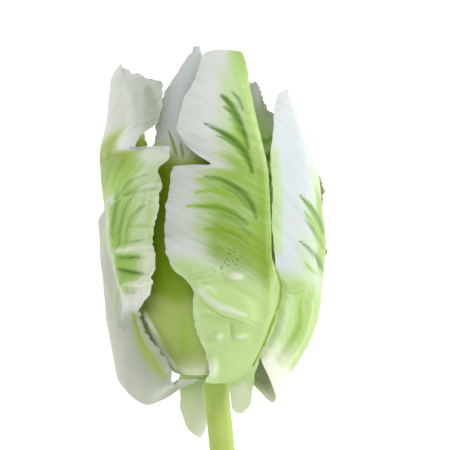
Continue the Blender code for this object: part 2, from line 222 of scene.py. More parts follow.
def line_gap(places: np.ndarray, line: tuple[Spot, ...]) -> tuple[np.ndarray, np.ndarray]:
    """Measure how far places lie from a curved line.

    Args:
        places: points in the middle plane.
        line: the points that the line passes, in order.

    Returns:
        The distance, positive to the left of the line's direction, and the share of the line there.
    """
    knots = np.array(line, dtype=float)
    marks = np.arange(len(knots))
    fine = np.linspace(0, len(knots) - 1, 4 * (len(knots) - 1) + 1)
    curve = np.column_stack([smooth(np.column_stack((marks, knots[:, k])), fine) for k in (0, 1)])
    nearest = np.full(len(places), np.inf)
    signed = np.zeros(len(places))
    share = np.zeros(len(places))
    for k, (start, end) in enumerate(zip(curve[:-1], curve[1:])):
        span = end - start
        along = np.clip((places - start) @ span / (span @ span), 0.0, 1.0)
        gap = places - start - along[:, None] * span
        distance = np.hypot(gap[:, 0], gap[:, 1])
        side = np.where(span[0] * gap[:, 1] - span[1] * gap[:, 0] >= 0, 1.0, -1.0)
        closer = distance < nearest
        nearest = np.where(closer, distance, nearest)
        signed = np.where(closer, distance * side, signed)
        share = np.where(closer, (k + along) / (len(curve) - 1), share)
    return signed, share


def lay_down(points: np.ndarray, half_thickness: float = 0.0, pressed: bool = False) -> np.ndarray:
    """Lay upright points down, pressed flat where they touch the surface.

    Args:
        points: upright points in millimetres.
        half_thickness: how far the blade's middle stays above the surface.
        pressed: whether the surface holds the points up.

    Returns:
        The points in metres, as they lie.
    """
    x, y, z = points[:, 0], points[:, 1] - BELLY_HEIGHT, points[:, 2]
    flat_y = y * math.cos(TILT) - z * math.sin(TILT)
    up = y * math.sin(TILT) + z * math.cos(TILT) + AXIS_ABOVE_SURFACE
    if pressed:
        depth = up - half_thickness
        eased = (depth + PRESS_SOFTNESS) ** 2 / (4 * PRESS_SOFTNESS)
        soft = np.where(np.abs(depth) < PRESS_SOFTNESS, eased, np.maximum(depth, 0.0))
        up = soft + half_thickness
    return np.column_stack((x, flat_y, up)) * MM


def cup_point(along: np.ndarray, outwards: np.ndarray) -> tuple[np.ndarray, np.ndarray]:
    """Find points along the cup's profile and outwards from it.

    Args:
        along: the distance along the profile, from its foot.
        outwards: the distance outwards, square to the profile.

    Returns:
        The points' radii and heights.
    """
    profile = np.array(CUP_PROFILE)
    reach = np.concatenate(([0.0], np.cumsum(np.hypot(*np.diff(profile, axis=0).T))))
    radii = np.column_stack((reach, profile[:, 0]))
    heights = np.column_stack((reach, profile[:, 1]))
    step = 0.5
    run = smooth(radii, along + step) - smooth(radii, along - step)
    climb = smooth(heights, along + step) - smooth(heights, along - step)
    length = np.hypot(run, climb)
    radius = smooth(radii, along) + outwards * climb / length
    height = smooth(heights, along) - outwards * run / length
    return radius, height


class Bench:
    """The mesh work that every piece shares."""

    @staticmethod
    def grid(name: str, columns: int, rows: int) -> bpy.types.Object:
        """Add a square grid from -1 to 1, with nothing else selected.

        Args:
            name: the object's name.
            columns: the number of faces across.
            rows: the number of faces along.

        Returns:
            The grid.
        """
        bpy.ops.object.select_all(action="DESELECT")
        bpy.ops.mesh.primitive_grid_add(
            x_subdivisions=columns, y_subdivisions=rows, size=2, calc_uvs=True
        )
        item = bpy.context.object
        item.name = name
        item.data.name = name
        return item

    @staticmethod
    def corners(item: bpy.types.Object) -> np.ndarray:
        """Read an object's vertices.

        Args:
            item: the object.

        Returns:
            Their places, one to a row.
        """
        flat = np.empty(len(item.data.vertices) * 3)
        item.data.vertices.foreach_get("co", flat)
        return flat.reshape(-1, 3)

    @staticmethod
    def shape(item: bpy.types.Object, places: np.ndarray) -> None:
        """Move an object's vertices to their places."""
        item.data.vertices.foreach_set("co", places.ravel())
        item.data.update()

    @staticmethod
    def paint(item: bpy.types.Object, name: str, values: np.ndarray) -> None:
        """Store a value for each vertex under a name."""
        layer = item.data.attributes.new(name, "FLOAT", "POINT")
        layer.data.foreach_set("value", values.astype(np.float32))

    @staticmethod
    def lay_pattern(item: bpy.types.Object, places: np.ndarray) -> None:
        """Write a pattern's two coordinates into the object's only UV map.

        Args:
            item: the object.
            places: the coordinates of each vertex.
        """
        mesh = item.data
        corners = np.empty(len(mesh.loops), dtype=np.int32)
        mesh.loops.foreach_get("vertex_index", corners)
        layer = mesh.uv_layers[0]
        layer.name = "Veins"
        layer.data.foreach_set("uv", places[corners].astype(np.float32).ravel())

    @staticmethod
    def close_tube() -> None:
        """Merge the active tube's seam and closed ends, and point its faces outwards."""
        bpy.ops.object.mode_set(mode="EDIT")
        bpy.ops.mesh.select_all(action="SELECT")
        bpy.ops.mesh.remove_doubles(threshold=MERGE)
        bpy.ops.mesh.dissolve_degenerate(threshold=MERGE)
        bpy.ops.mesh.normals_make_consistent(inside=False)
        bpy.ops.object.mode_set(mode="OBJECT")

    @staticmethod
    def soften(item: bpy.types.Object, degrees: float) -> None:
        """Shade an object smooth, but for its sharp edges.

        Args:
            item: the object.
            degrees: the angle from which an edge is sharp.
        """
        bpy.ops.object.select_all(action="DESELECT")
        item.select_set(True)
        bpy.context.view_layer.objects.active = item
        bpy.ops.object.shade_smooth_by_angle(angle=math.radians(degrees))

    @staticmethod
    def apply(item: bpy.types.Object, modifier: bpy.types.Modifier) -> None:
        """Apply a modifier."""
        bpy.context.view_layer.objects.active = item
        bpy.ops.object.modifier_apply(modifier=modifier.name)

    @staticmethod
    def join(items: list[bpy.types.Object], name: str) -> bpy.types.Object:
        """Join objects into the first of them.

        Args:
            items: the objects.
            name: the name of the joined object.

        Returns:
            The joined object.
        """
        bpy.ops.object.select_all(action="DESELECT")
        for item in items:
            item.select_set(True)
        bpy.context.view_layer.objects.active = items[0]
        bpy.ops.object.join()
        items[0].name = name
        return items[0]

    @staticmethod
    def seat(item: bpy.types.Object, node: str, slot: Slot) -> None:
        """Let a finished piece stand for its node.

        Args:
            item: the piece.
            node: the name of the solid that it replaces.
            slot: its material slot; not used.
        """
        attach(item, BODY)
        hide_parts(node)


class Wiring:
    """Adds and joins the shader nodes of one material."""

    def __init__(self, name: str) -> None:
        """Start a material with its Principled shader.

        Args:
            name: the material's name.
        """
        self.material = bpy.data.materials.new(name)
        self.material.use_nodes = True
        self.tree = self.material.node_tree
        self.shader = self.tree.nodes["Principled BSDF"]

    def node(self, kind: str, inputs: dict, **settings: object) -> bpy.types.Node:
        """Add a node, set its options, and set or join its inputs.

        Args:
            kind: the node's type.
            inputs: input names or places, with a value or another node's output.
            settings: the node's own options.

        Returns:
            The new node.
        """
        made = self.tree.nodes.new(kind)
        for option, value in settings.items():
            setattr(made, option, value)
        for key, value in inputs.items():
            self.feed(made.inputs[key], value)
        return made

    def feed(self, socket: bpy.types.NodeSocket, value: object) -> None:
        """Set a socket to a value, or join another node's output to it.

        Args:
            socket: the input socket.
            value: the value, or the output that feeds it.
        """
        if isinstance(value, bpy.types.NodeSocket):
            self.tree.links.new(value, socket)
        else:
            socket.default_value = value

    def combine(self, operation: str, first: object, second: object) -> bpy.types.NodeSocket:
        """Combine two values by an operation."""
        return self.node("ShaderNodeMath", {0: first, 1: second}, operation=operation).outputs[0]

    def between(self, value: object, low: float, high: float, to_low: float = 0.0,
                to_high: float = 1.0) -> bpy.types.NodeSocket:
        """Map a value from one range to another, softly at both ends.

        Args:
            value: the value to map.
            low: where its range starts.
            high: where its range ends.
            to_low: what it becomes at the start.
            to_high: what it becomes at the end.

        Returns:
            The mapped value.
        """
        inputs = {"Value": value, 1: low, 2: high, 3: to_low, 4: to_high}
        made = self.node("ShaderNodeMapRange", inputs, interpolation_type="SMOOTHSTEP")
        return made.outputs[0]

    def mix(self, share: object, under: object, over: object,
            blend: str = "MIX") -> bpy.types.NodeSocket:
        """Lay one colour over another.

        Args:
            share: how much of the upper colour shows.
            under: the lower colour.
            over: the upper colour.
            blend: how the two blend.

        Returns:
            The mixed colour.
        """
        made = self.node("ShaderNodeMix", {}, data_type="RGBA", blend_type=blend)
        self.feed(made.inputs["Factor"], share)
        self.feed(made.inputs[6], under)
        self.feed(made.inputs[7], over)
        return made.outputs[2]

    def stored(self, name: str) -> bpy.types.NodeSocket:
        """Read a value stored on the mesh."""
        return self.node("ShaderNodeAttribute", {}, attribute_name=name).outputs["Fac"]

    def pattern(self, scale: tuple[float, float, float]) -> bpy.types.NodeSocket:
        """Read the vein coordinates at a scale."""
        layer = self.node("ShaderNodeUVMap", {}, uv_map="Veins")
        return self.node("ShaderNodeMapping", {"Vector": layer.outputs[0], "Scale": scale}).outputs[0]

    def place(self, scale: tuple[float, float, float]) -> bpy.types.NodeSocket:
        """Read the object's own coordinates at a scale."""
        spot = self.node("ShaderNodeTexCoord", {}).outputs["Object"]
        return self.node("ShaderNodeMapping", {"Vector": spot, "Scale": scale}).outputs[0]

    def noise(self, vector: object, scale: float, detail: float = 3.0, roughness: float = 0.5,
              distortion: float = 0.0) -> bpy.types.NodeSocket:
        """Add an even noise.

        Args:
            vector: the coordinates that it follows.
            scale: how fine it is.
            detail: how many finer layers it has.
            roughness: how strong the finer layers are.
            distortion: how far it is warped.

        Returns:
            The noise, 0 to 1.
        """
        inputs = {"Vector": vector, "Scale": scale, "Detail": detail, "Roughness": roughness,
                  "Distortion": distortion}
        return self.node("ShaderNodeTexNoise", inputs).outputs[0]

    def finish(self, colour: object, roughness: object, height: object, bump: float,
               constants: dict[str, object]) -> bpy.types.Material:
        """Join the shader's inputs.

        Args:
            colour: the surface colour.
            roughness: the roughness.
            height: the relief, 0 to 1.
            bump: the relief's height in metres.
            constants: plain values for the shader's other sockets.

        Returns:
            The finished material.
        """
        self.feed(self.shader.inputs["Base Color"], colour)
        self.feed(self.shader.inputs["Roughness"], roughness)
        relief = self.node("ShaderNodeBump", {"Strength": 1.0, "Distance": bump, "Height": height})
        self.feed(self.shader.inputs["Normal"], relief.outputs[0])
        for name, value in constants.items():
            self.shader.inputs[name].default_value = value
        return self.material


@dataclass(frozen=True)
class TissueFinish:
    """A tepal's thin tissue: white, with tints that break up along its veins; some tints carry painted
    shade and painted highlights.
    """

    name: str
    white: tuple = linear(230, 234, 229)
    # painted shade: the grey that the white tissue takes where it lies in shade
    painted_shade_grey: tuple = linear(188, 194, 176)
    # the tissue's own olive green, also used as painted shade under bumps and where a blade lies in
    # another's shade
    olive_and_painted_shade: tuple = linear(180, 198, 106)
    lime: tuple = linear(196, 226, 142)
    green: tuple = linear(158, 200, 72)
    # the tissue's own dark green, also used as painted shade along tucked edges, under the flap and in
    # gaps between tepals
    deep_and_painted_shade: tuple = linear(136, 166, 4)
    # the dark green flames, also used as painted shade in the grooves of pleats and under a ridge
    flame_and_painted_shade: tuple = linear(84, 134, 34)
    # the tissue's pale rims and bases, also used as painted highlights on crests and ridges and as
    # painted light on shaded bases
    pale: tuple = linear(240, 243, 224)
    speck: tuple = linear(74, 96, 30)
    vein_shade: tuple = linear(150, 176, 120)
    cloud_shade: tuple = linear(206, 208, 190)
    streak_grain: tuple = (0.5, 5.5, 1.0)
    vein_grain: tuple = (0.9, 16.0, 1.0)
    speck_grain: tuple = (9.0, 9.0, 1.0)
    cell_grain: float = 1600.0
    cloud_grain: float = 130.0
    roughness: float = 0.46
    see_through: float = 0.25
    relief: float = 0.00008

    def layers(self) -> tuple[tuple, ...]:
        """Give each tint with its colour, how unevenly it starts and the amount that makes it full."""
        return (
            (Tint.PAINTED_SHADE_GREY, self.painted_shade_grey, 0.12, 0.94),
            (Tint.OLIVE_AND_PAINTED_SHADE, self.olive_and_painted_shade, 0.3, 0.94),
            (Tint.LIME, self.lime, 0.4, 0.94),
            (Tint.GREEN, self.green, 0.8, 0.94),
            (Tint.DEEP_AND_PAINTED_SHADE, self.deep_and_painted_shade, 0.4, 0.94),
            (Tint.FLAME_AND_PAINTED_SHADE, self.flame_and_painted_shade, 1.5, 1.3),
            (Tint.PALE_AND_PAINTED_LIGHT, self.pale, 0.3, 1.25),
        )

    def build(self) -> bpy.types.Material:
        """Make the material.

        Returns:
            The tissue, with veins, streaks, specks and a fine relief.
        """
        wiring = Wiring(self.name)
        streaks = wiring.noise(wiring.pattern(self.streak_grain), 1.0, 4.0, 0.6, 0.3)
        fine = wiring.noise(wiring.pattern(self.vein_grain), 1.0, 3.0, 0.55, 0.2)
        cells = wiring.noise(wiring.place((1.0, 1.0, 1.0)), self.cell_grain, 2.0)
        cloud = wiring.noise(wiring.place((1.0, 1.0, 1.0)), self.cloud_grain, 3.0)
        broad_part = wiring.combine("MULTIPLY", streaks, 0.7)
        fine_part = wiring.combine("MULTIPLY", fine, 0.3)
        uneven = wiring.combine("SUBTRACT", wiring.combine("ADD", broad_part, fine_part), 0.5)
        colour = self.white
        for tint, shade, contrast, full in self.layers():
            amount = wiring.stored(tint.value)
            swing = wiring.combine("MULTIPLY", uneven, contrast)
            inside = wiring.combine("MULTIPLY", swing, wiring.between(amount, 0.02, 0.25))
            share = wiring.between(wiring.combine("ADD", amount, inside), 0.06, full)
            colour = wiring.mix(share, colour, shade)
        veins = wiring.combine("MULTIPLY", wiring.between(fine, 0.42, 0.7), 0.04)
        colour = wiring.mix(veins, colour, self.vein_shade, "MULTIPLY")
        clouding = wiring.between(cloud, 0.3, 0.75, 0.0, 0.10)
        colour = wiring.mix(clouding, colour, self.cloud_shade, "MULTIPLY")
        spots = wiring.node(
            "ShaderNodeTexVoronoi", {"Vector": wiring.pattern(self.speck_grain), "Scale": 1.0}
        )
        dark = wiring.between(spots.outputs["Distance"], 0.12, 0.26, 1.0, 0.0)
        dots = wiring.combine("MULTIPLY", dark, wiring.stored("speck"))
        colour = wiring.mix(dots, colour, self.speck)
        gloss = wiring.between(cells, 0.2, 0.8, self.roughness - 0.06, self.roughness + 0.12)
        ribs = wiring.combine("MULTIPLY", fine, 0.8)
        relief = wiring.combine("ADD", ribs, wiring.combine("MULTIPLY", cells, 0.2))
        constants = {
            "Subsurface Weight": self.see_through,
            "Subsurface Radius": (1.0, 1.0, 0.6),
            "Subsurface Scale": 0.0006,
            "Specular IOR Level": 0.4,
            "Sheen Weight": 0.12,
            "Sheen Roughness": 0.5,
        }
        return wiring.finish(colour, gloss, relief, self.relief, constants)


@dataclass(frozen=True)
class StalkFinish:
    """The stalk's smooth skin: light green, streaked along its length, with a waxy sheen."""

    name: str = "stalk_skin"
    skin: tuple = linear(196, 217, 118)
    shaded: tuple = linear(174, 200, 90)
    collar: tuple = linear(190, 212, 116)
    pith: tuple = linear(226, 232, 190)
    bundle: tuple = linear(150, 172, 96)
    roughness: float = 0.42
    relief: float = 0.00012

    def build(self) -> bpy.types.Material:
        """Make the material.

        Returns:
            The skin, with the pale pith that the cut end shows.
        """
        wiring = Wiring(self.name)
        lines = wiring.noise(wiring.place((1.0, 0.035, 1.0)), 1500.0, 3.0, 0.55)
        broad = wiring.noise(wiring.place((1.0, 0.12, 1.0)), 240.0, 3.0)
        grain = wiring.noise(wiring.place((1.0, 1.0, 1.0)), 2600.0, 2.0)
        colour = wiring.mix(wiring.between(broad, 0.3, 0.7), self.skin, self.shaded)
        colour = wiring.mix(wiring.between(lines, 0.45, 0.8, 0.0, 0.45), colour, self.shaded)
        colour = wiring.mix(wiring.stored("collar"), colour, self.collar)
        colour = wiring.mix(wiring.stored("cut"), colour, self.pith)
        across = wiring.place((1.0, 0.0, 1.0))
        dots = wiring.node("ShaderNodeTexVoronoi", {"Vector": across, "Scale": 1100.0})
        bundles = wiring.between(dots.outputs["Distance"], 0.2, 0.34, 1.0, 0.0)
        cut_bundles = wiring.combine("MULTIPLY", bundles, wiring.stored("cut"))
        colour = wiring.mix(cut_bundles, colour, self.bundle)
        gloss = wiring.between(grain, 0.2, 0.8, self.roughness - 0.07, self.roughness + 0.1)
        ribs = wiring.combine("MULTIPLY", lines, 0.7)
        relief = wiring.combine("ADD", ribs, wiring.combine("MULTIPLY", grain, 0.3))
        constants = {
            "Subsurface Weight": 0.15,
            "Subsurface Radius": (1.0, 1.0, 0.4),
            "Subsurface Scale": 0.0015,
            "Specular IOR Level": 0.32,
            "Coat Weight": 0.02,
            "Coat Roughness": 0.35,
        }
        return wiring.finish(colour, gloss, relief, self.relief, constants)


@dataclass(frozen=True)
class TwoToneFinish:
    """A matt finish of two colours, the second where the mesh stores it."""

    name: str
    first: tuple
    second: tuple
    stored: str
    grain: float
    roughness: float = 0.6
    cloud_shade: tuple = linear(196, 190, 150)
    relief: float = 0.00025

    def build(self) -> bpy.types.Material:
        """Make the material.

        Returns:
            The finish, with a grain in its colour, gloss and relief.
        """
        wiring = Wiring(self.name)
        grain = wiring.noise(wiring.place((1.0, 1.0, 1.0)), self.grain, 4.0, 0.6)
        cloud = wiring.noise(wiring.place((1.0, 0.4, 1.0)), 400.0, 2.0)
        colour = wiring.mix(wiring.stored(self.stored), self.first, self.second)
        clouding = wiring.between(cloud, 0.3, 0.75, 0.0, 0.35)
        colour = wiring.mix(clouding, colour, self.cloud_shade, "MULTIPLY")
        gloss = wiring.between(grain, 0.3, 0.7, self.roughness - 0.1, self.roughness + 0.15)
        constants = {"Subsurface Weight": 0.12, "Subsurface Scale": 0.001, "Sheen Weight": 0.1}
        return wiring.finish(colour, gloss, grain, self.relief, constants)


@dataclass(frozen=True)
class Wash:
    """A soft area of one tint: where along and across a tepal it starts, is full, and ends."""

    tint: Tint
    strength: float
    along: tuple[float, float, float, float]
    across: tuple[float, float, float, float] = (-3.0, -2.0, 2.0, 3.0)


@dataclass(frozen=True)
class Stroke:
    """A tinted streak along a line seen from the front, with its half width at both ends."""

    tint: Tint
    line: tuple[Spot, ...]
    width: tuple[float, float]
    strength: float

    def level(self, places: np.ndarray) -> np.ndarray:
        """Find how strong the streak is, which narrows towards both its ends.

        Args:
            places: points in the middle plane.

        Returns:
            The strength at each of them.
        """
        gap, at = line_gap(places, self.line)
        width = self.width[0] + (self.width[1] - self.width[0]) * at
        width = width * (0.35 + 0.65 * np.sin(math.pi * np.clip(at, 0.04, 0.96)) ** 0.6)
        return self.strength * np.exp(-(gap / width) ** 2)


@dataclass(frozen=True)
class Fold:
    """A raised or sunk line seen from the front, and its reach to the left and right of its way."""

    line: tuple[Spot, ...]
    height: float
    left: float
    right: float

    def level(self, places: np.ndarray) -> np.ndarray:
        """Find how far the fold stands out, which is lower towards both its ends.

        Args:
            places: points in the middle plane.

        Returns:
            The height at each of them, in millimetres.
        """
        gap, at = line_gap(places, self.line)
        reach = np.where(gap > 0, self.left, self.right)
        ends = 0.35 + 0.65 * np.sin(math.pi * np.clip(at, 0.03, 0.97)) ** 0.5
        return self.height * ends * np.exp(-(gap / reach) ** 2)


@dataclass(frozen=True)
class Bump:
    """A small swelling seen from the front, painted in its tint: pale by default, a painted highlight on
    the raised spot over tissue that is whitish there.
    """

    centre: tuple[Spot, ...]
    size: tuple[float, float]
    height: float
    tint: Tint = Tint.PALE_AND_PAINTED_LIGHT
    strength: float = 1.0

    def level(self, places: np.ndarray) -> np.ndarray:
        """Give the swelling's share at places in the middle plane, 1 in its middle."""
        gap = (places - np.array(self.centre[0])) / np.array(self.size)
        return np.exp(-(gap ** 2).sum(axis=1) ** 1.4)


@dataclass(frozen=True)
class Feathers:
    """Green streaks that run out from the midrib along the veins, drawn by a seeded rule."""

    count: int
    span: tuple[float, float]
    reach: float
    strength: float
    seed: int
    tint: Tint = Tint.GREEN
    sides: tuple[int, ...] = (-1, 1)


@dataclass(frozen=True)
class Tepal:
    """One tepal: its form, repeated from its solid, and the folds and marks of its surface.

    rib holds the share of the length, the azimuth and the distance outwards. left and right hold the
    share, the azimuth, the distance along the cup and the distance outwards. turn says how early the
    azimuth is reached on the left and right where the blade is tucked in. steps are ledges: side, share
    from, to, width from, to, height. dips are notches in the top edge: where across, half width, depth.
    wave is the height, length and start of the margin's waves. fringe is the height and length of the
    teeth at the left and right margin, and ruffle the same for its fine waves. vein_rise says how
    steeply the veins climb inwards, and gather how much closer the rows are near the foot.
    """

    name: str
    slot: Slot
    length: float
    rib: tuple
    left: tuple
    right: tuple
    turn: tuple[float, float] = (1.0, 1.0)
    steps: tuple = ()
    dips: tuple = ()
    wave: tuple[float, float, float] = (0.8, 14.0, 0.0)
    fringe: tuple[Spot, Spot] = ((0.25, 2.6), (0.25, 2.6))
    ruffle: Spot = (0.25, 5.0)
    vein_rise: float = 0.6
    washes: tuple[Wash, ...] = ()
    strokes: tuple[Stroke, ...] = ()
    folds: tuple[Fold, ...] = ()
    bumps: tuple[Bump, ...] = ()
    feathers: tuple[Feathers, ...] = ()
    specks: tuple[Bump, ...] = ()
    columns: int = 84
    rows: int = 190
    gather: float = 1.3
    thickness: float = 0.5
    thin_margin: float = 0.45

    def build(self) -> bpy.types.Object:
        """Make the tepal's blade.

        Returns:
            The blade, as it lies, with its tints and vein pattern stored on it.
        """
        item = Bench.grid(self.name + "_blade", self.columns, self.rows)
        flat = Bench.corners(item)
        across, share = flat[:, 0], ((flat[:, 1] + 1) / 2) ** self.gather
        plain, spread, along = self.points(across, share, np.zeros(len(across)))
        places = as_seen(plain)
        facing = ramp(plain[:, 2], -7.0, 1.0)
        relief = self.relief(places) * facing
        shaped, spread, along = self.points(across, share, relief + self.pleats(across, along, spread))
        self.colour(item, places, facing, across, share, spread, along)
        half = self.thickness / 2
        Bench.shape(item, lay_down(shaped, half, pressed=True))
        Bench.lay_pattern(item, np.column_stack((spread, self.veins(spread, along))) / 10)
        self.thicken(item, across)
        Bench.soften(item, 55)
        return item

    def points(self, across: np.ndarray, share: np.ndarray,
               lift: np.ndarray) -> tuple[np.ndarray, np.ndarray, np.ndarray]:
        """Shape the blade's middle surface.

        Args:
            across: -1 at the left margin, 0 on the midrib and 1 at the right margin.
            share: the share of the tepal's length.
            lift: relief to add outwards, in millimetres.

        Returns:
            The upright points, the distance round from the midrib and the distance along the cup.
        """
        side = np.abs(across)
        on_left = across < 0
        tables = [np.array(self.rib), np.array(self.left), np.array(self.right)]
        rib_azimuth, rib_out = (smooth(tables[0][:, (0, k)], share) for k in (1, 2))
        edges = [[smooth(table[:, (0, k)], share) for k in (1, 2, 3)] for table in tables[1:]]
        edge_azimuth, edge_along, edge_out = (np.where(on_left, *pair) for pair in zip(*edges))
        tuck = np.clip((rib_out - edge_out) / TUCK_DEPTH, 0.0, 1.0)
        turn = 1 + tuck * np.where(on_left, self.turn[0] - 1, self.turn[1] - 1)
        azimuth = rib_azimuth + (edge_azimuth - rib_azimuth) * (1 - (1 - side) ** turn)
        rib_along = self.length * share
        along = rib_along + (edge_along - rib_along) * (1 - (1 - side) ** MARGIN_SWEEP)
        for centre, width, depth in self.dips:
            notch = np.exp(-((across - centre) / width) ** 2)
            along = along - depth * ramp(share, TOP_START, 1.0) * notch
        flare = np.clip((edge_out - rib_out) / FLARE_DEPTH, 0.0, 1.0)
        out = rib_out + (edge_out - rib_out) * side ** (1 + 0.5 * (turn - 1) + FLARE_CURVE * flare)
        for which, start, end, near, far, height in self.steps:
            level = window(share, (start - LEDGE_SOFTNESS, start, end, end + LEDGE_SOFTNESS))
            out = out + height * level * np.where(across * which > 0, ramp(side, near, far), 0.0)
        wave_height, wave_length, wave_start = self.wave
        ends = ramp(share, 0.12, 0.35) * (1 - 0.5 * ramp(share, 0.9, 1.0))
        phase = 2 * math.pi * (along / wave_length + wave_start) + np.where(on_left, 0.0, WAVE_LAG)
        out = out + wave_height * ends * side ** WAVE_GROWTH * np.sin(phase)
        radius, height = cup_point(along, out + lift)
        tooth = np.where(on_left, self.teeth(along, 0), self.teeth(along, 1)) * ramp(share, 0.03, 0.1)
        tooth = tooth * side ** FRINGE_GROWTH
        turn_out = np.where(on_left, -1, 1) * tooth / np.maximum(radius, LEAST_RADIUS)
        turned = np.radians(azimuth) + turn_out
        height = height + 0.6 * tooth * ramp(share, 0.9, 1.0)
        spread = np.radians(azimuth - rib_azimuth) * radius
        points = np.column_stack((radius * np.sin(turned), height, radius * np.cos(turned)))
        return points, spread, along

    def veins(self, spread: np.ndarray, along: np.ndarray) -> np.ndarray:
        """Give the place where the vein through each point leaves the midrib."""
        return along - self.vein_rise * np.abs(spread) + VEIN_CURVE * spread ** 2

    def teeth(self, along: np.ndarray, which: int) -> np.ndarray:
        """Find how far the margin's fringe stands out.

        Args:
            along: the distance along the cup.
            which: 0 for the left margin and 1 for the right one.

        Returns:
            The distance in millimetres.
        """
        depth, length = self.fringe[which]
        phase = 2 * math.pi * along / length
        jag = np.abs((phase / math.pi + 0.8 * ripple(0.3 * phase, 2.0 + which)) % 2 - 1) - 0.5
        return depth * (0.9 * jag + 0.5 * ripple(0.45 * phase, 5.0 + which))

    def pleats(self, across: np.ndarray, along: np.ndarray, spread: np.ndarray) -> np.ndarray:
        """Find the fine waves that run along the veins and grow towards the margins.

        Args:
            across: where each vertex lies across the tepal.
            along: its distance along the cup.
            spread: its distance from the midrib.

        Returns:
            The waves' height in millimetres.
        """
        height, length = self.ruffle
        broad_height, broad_length = BROAD_PLEAT
        veins = along - self.vein_rise * np.abs(spread)
        fine = height * np.abs(across) ** RUFFLE_GROWTH * ripple(2 * math.pi * veins / length, 1.7)
        broad = broad_height * ripple(2 * math.pi * veins / broad_length, 4.0)
        broad = broad * ramp(np.abs(across), 0.05, 0.4)
        return (fine + broad) * ramp(along, 6.0, 20.0)

    def relief(self, places: np.ndarray) -> np.ndarray:
        """Add up the folds and bumps that show from the front.

        Args:
            places: where the view from the front shows the vertices.

        Returns:
            Their height outwards in millimetres.
        """
        lift = np.zeros(len(places))
        for fold in self.folds:
            lift += fold.level(places)
        for bump in self.bumps:
            lift += bump.height * bump.level(places)
        return lift

    def colour(self, item: bpy.types.Object, places: np.ndarray, facing: np.ndarray, across: np.ndarray,
               share: np.ndarray, spread: np.ndarray, along: np.ndarray) -> None:
        """Store how much of each tint every vertex takes.

        Args:
            item: the blade.
            places: where the view from the front shows the vertices.
            facing: 1 where the blade faces the front and 0 where it doesn't.
            across: where each vertex lies across the tepal.
            share: where it lies along the tepal's length.
            spread: its distance from the midrib.
            along: its distance along the cup.
        """
        amounts = {tint: np.zeros(len(places)) for tint in Tint}
        for wash in self.washes:
            level = wash.strength * window(share, wash.along) * window(across, wash.across)
            amounts[wash.tint] = np.maximum(amounts[wash.tint], level)
        for streak in self.strokes:
            level = facing * streak.level(places)
            amounts[streak.tint] = np.maximum(amounts[streak.tint], level)
        for bump in self.bumps:
            level = bump.strength * facing * bump.level(places)
            amounts[bump.tint] = np.maximum(amounts[bump.tint], level)
        for rule in self.feathers:
            level = self.feather_level(rule, across, spread, along)
            amounts[rule.tint] = np.maximum(amounts[rule.tint], level)
        for tint, level in amounts.items():
            Bench.paint(item, tint.value, level)
        speck = np.zeros(len(places))
        for bump in self.specks:
            speck = np.maximum(speck, facing * bump.level(places))
        Bench.paint(item, "speck", speck)

    def feather_level(self, rule: Feathers, across: np.ndarray, spread: np.ndarray,
                      along: np.ndarray) -> np.ndarray:
        """Draw one set of feathers.

        Args:
            rule: how many there are, and where and how strong they are.
            across: where each vertex lies across the tepal.
            spread: its distance from the midrib.
            along: its distance along the cup.

        Returns:
            The feathers' strength at each vertex.
        """
        draw = np.random.default_rng(rule.seed)
        veins = self.veins(spread, along)
        level = np.zeros(len(across))
        low, high = (value * self.length for value in rule.span)
        for side in rule.sides:
            for k in range(rule.count):
                start = low + (high - low) * (k + draw.uniform(0.1, 0.9)) / rule.count
                reach = rule.reach * draw.uniform(0.45, 1.1)
                width = draw.uniform(0.5, 1.1)
                fade = 1 - ramp(np.abs(spread), 0.35 * reach, reach)
                near = np.exp(-((veins - start) / (width * (0.35 + fade))) ** 2)
                level = np.maximum(level, np.where(across * side >= 0, near * fade, 0.0))
        return rule.strength * level * (1 - ramp(np.abs(across), 0.75, 0.95))

    def thicken(self, item: bpy.types.Object, across: np.ndarray) -> None:
        """Give the blade its wall, thinner towards the margins.

        Args:
            item: the blade.
            across: where each vertex lies across the tepal.
        """
        group = item.vertex_groups.new(name="body")
        side = np.abs(across)
        for level in np.linspace(0, 1, 12):
            chosen = np.flatnonzero((side >= level) & (side < level + 1 / 11))
            weight = 1 - (1 - self.thin_margin) * float(ramp(np.array(level), 0.55, 1.0))
            group.add(chosen.tolist(), weight, "REPLACE")
        wall = item.modifiers.new("Wall", "SOLIDIFY")
        wall.thickness = self.thickness * MM
        wall.offset = 0.0
        wall.vertex_group = group.name
        Bench.apply(item, wall)
        item.vertex_groups.clear()

    def dress(self, item: bpy.types.Object, finishes: dict[Slot, bpy.types.Material]) -> None:
        """Give the blade its material and let it stand for its node."""
        item.data.materials.append(finishes[self.slot])
        Bench.seat(item, self.name, self.slot)


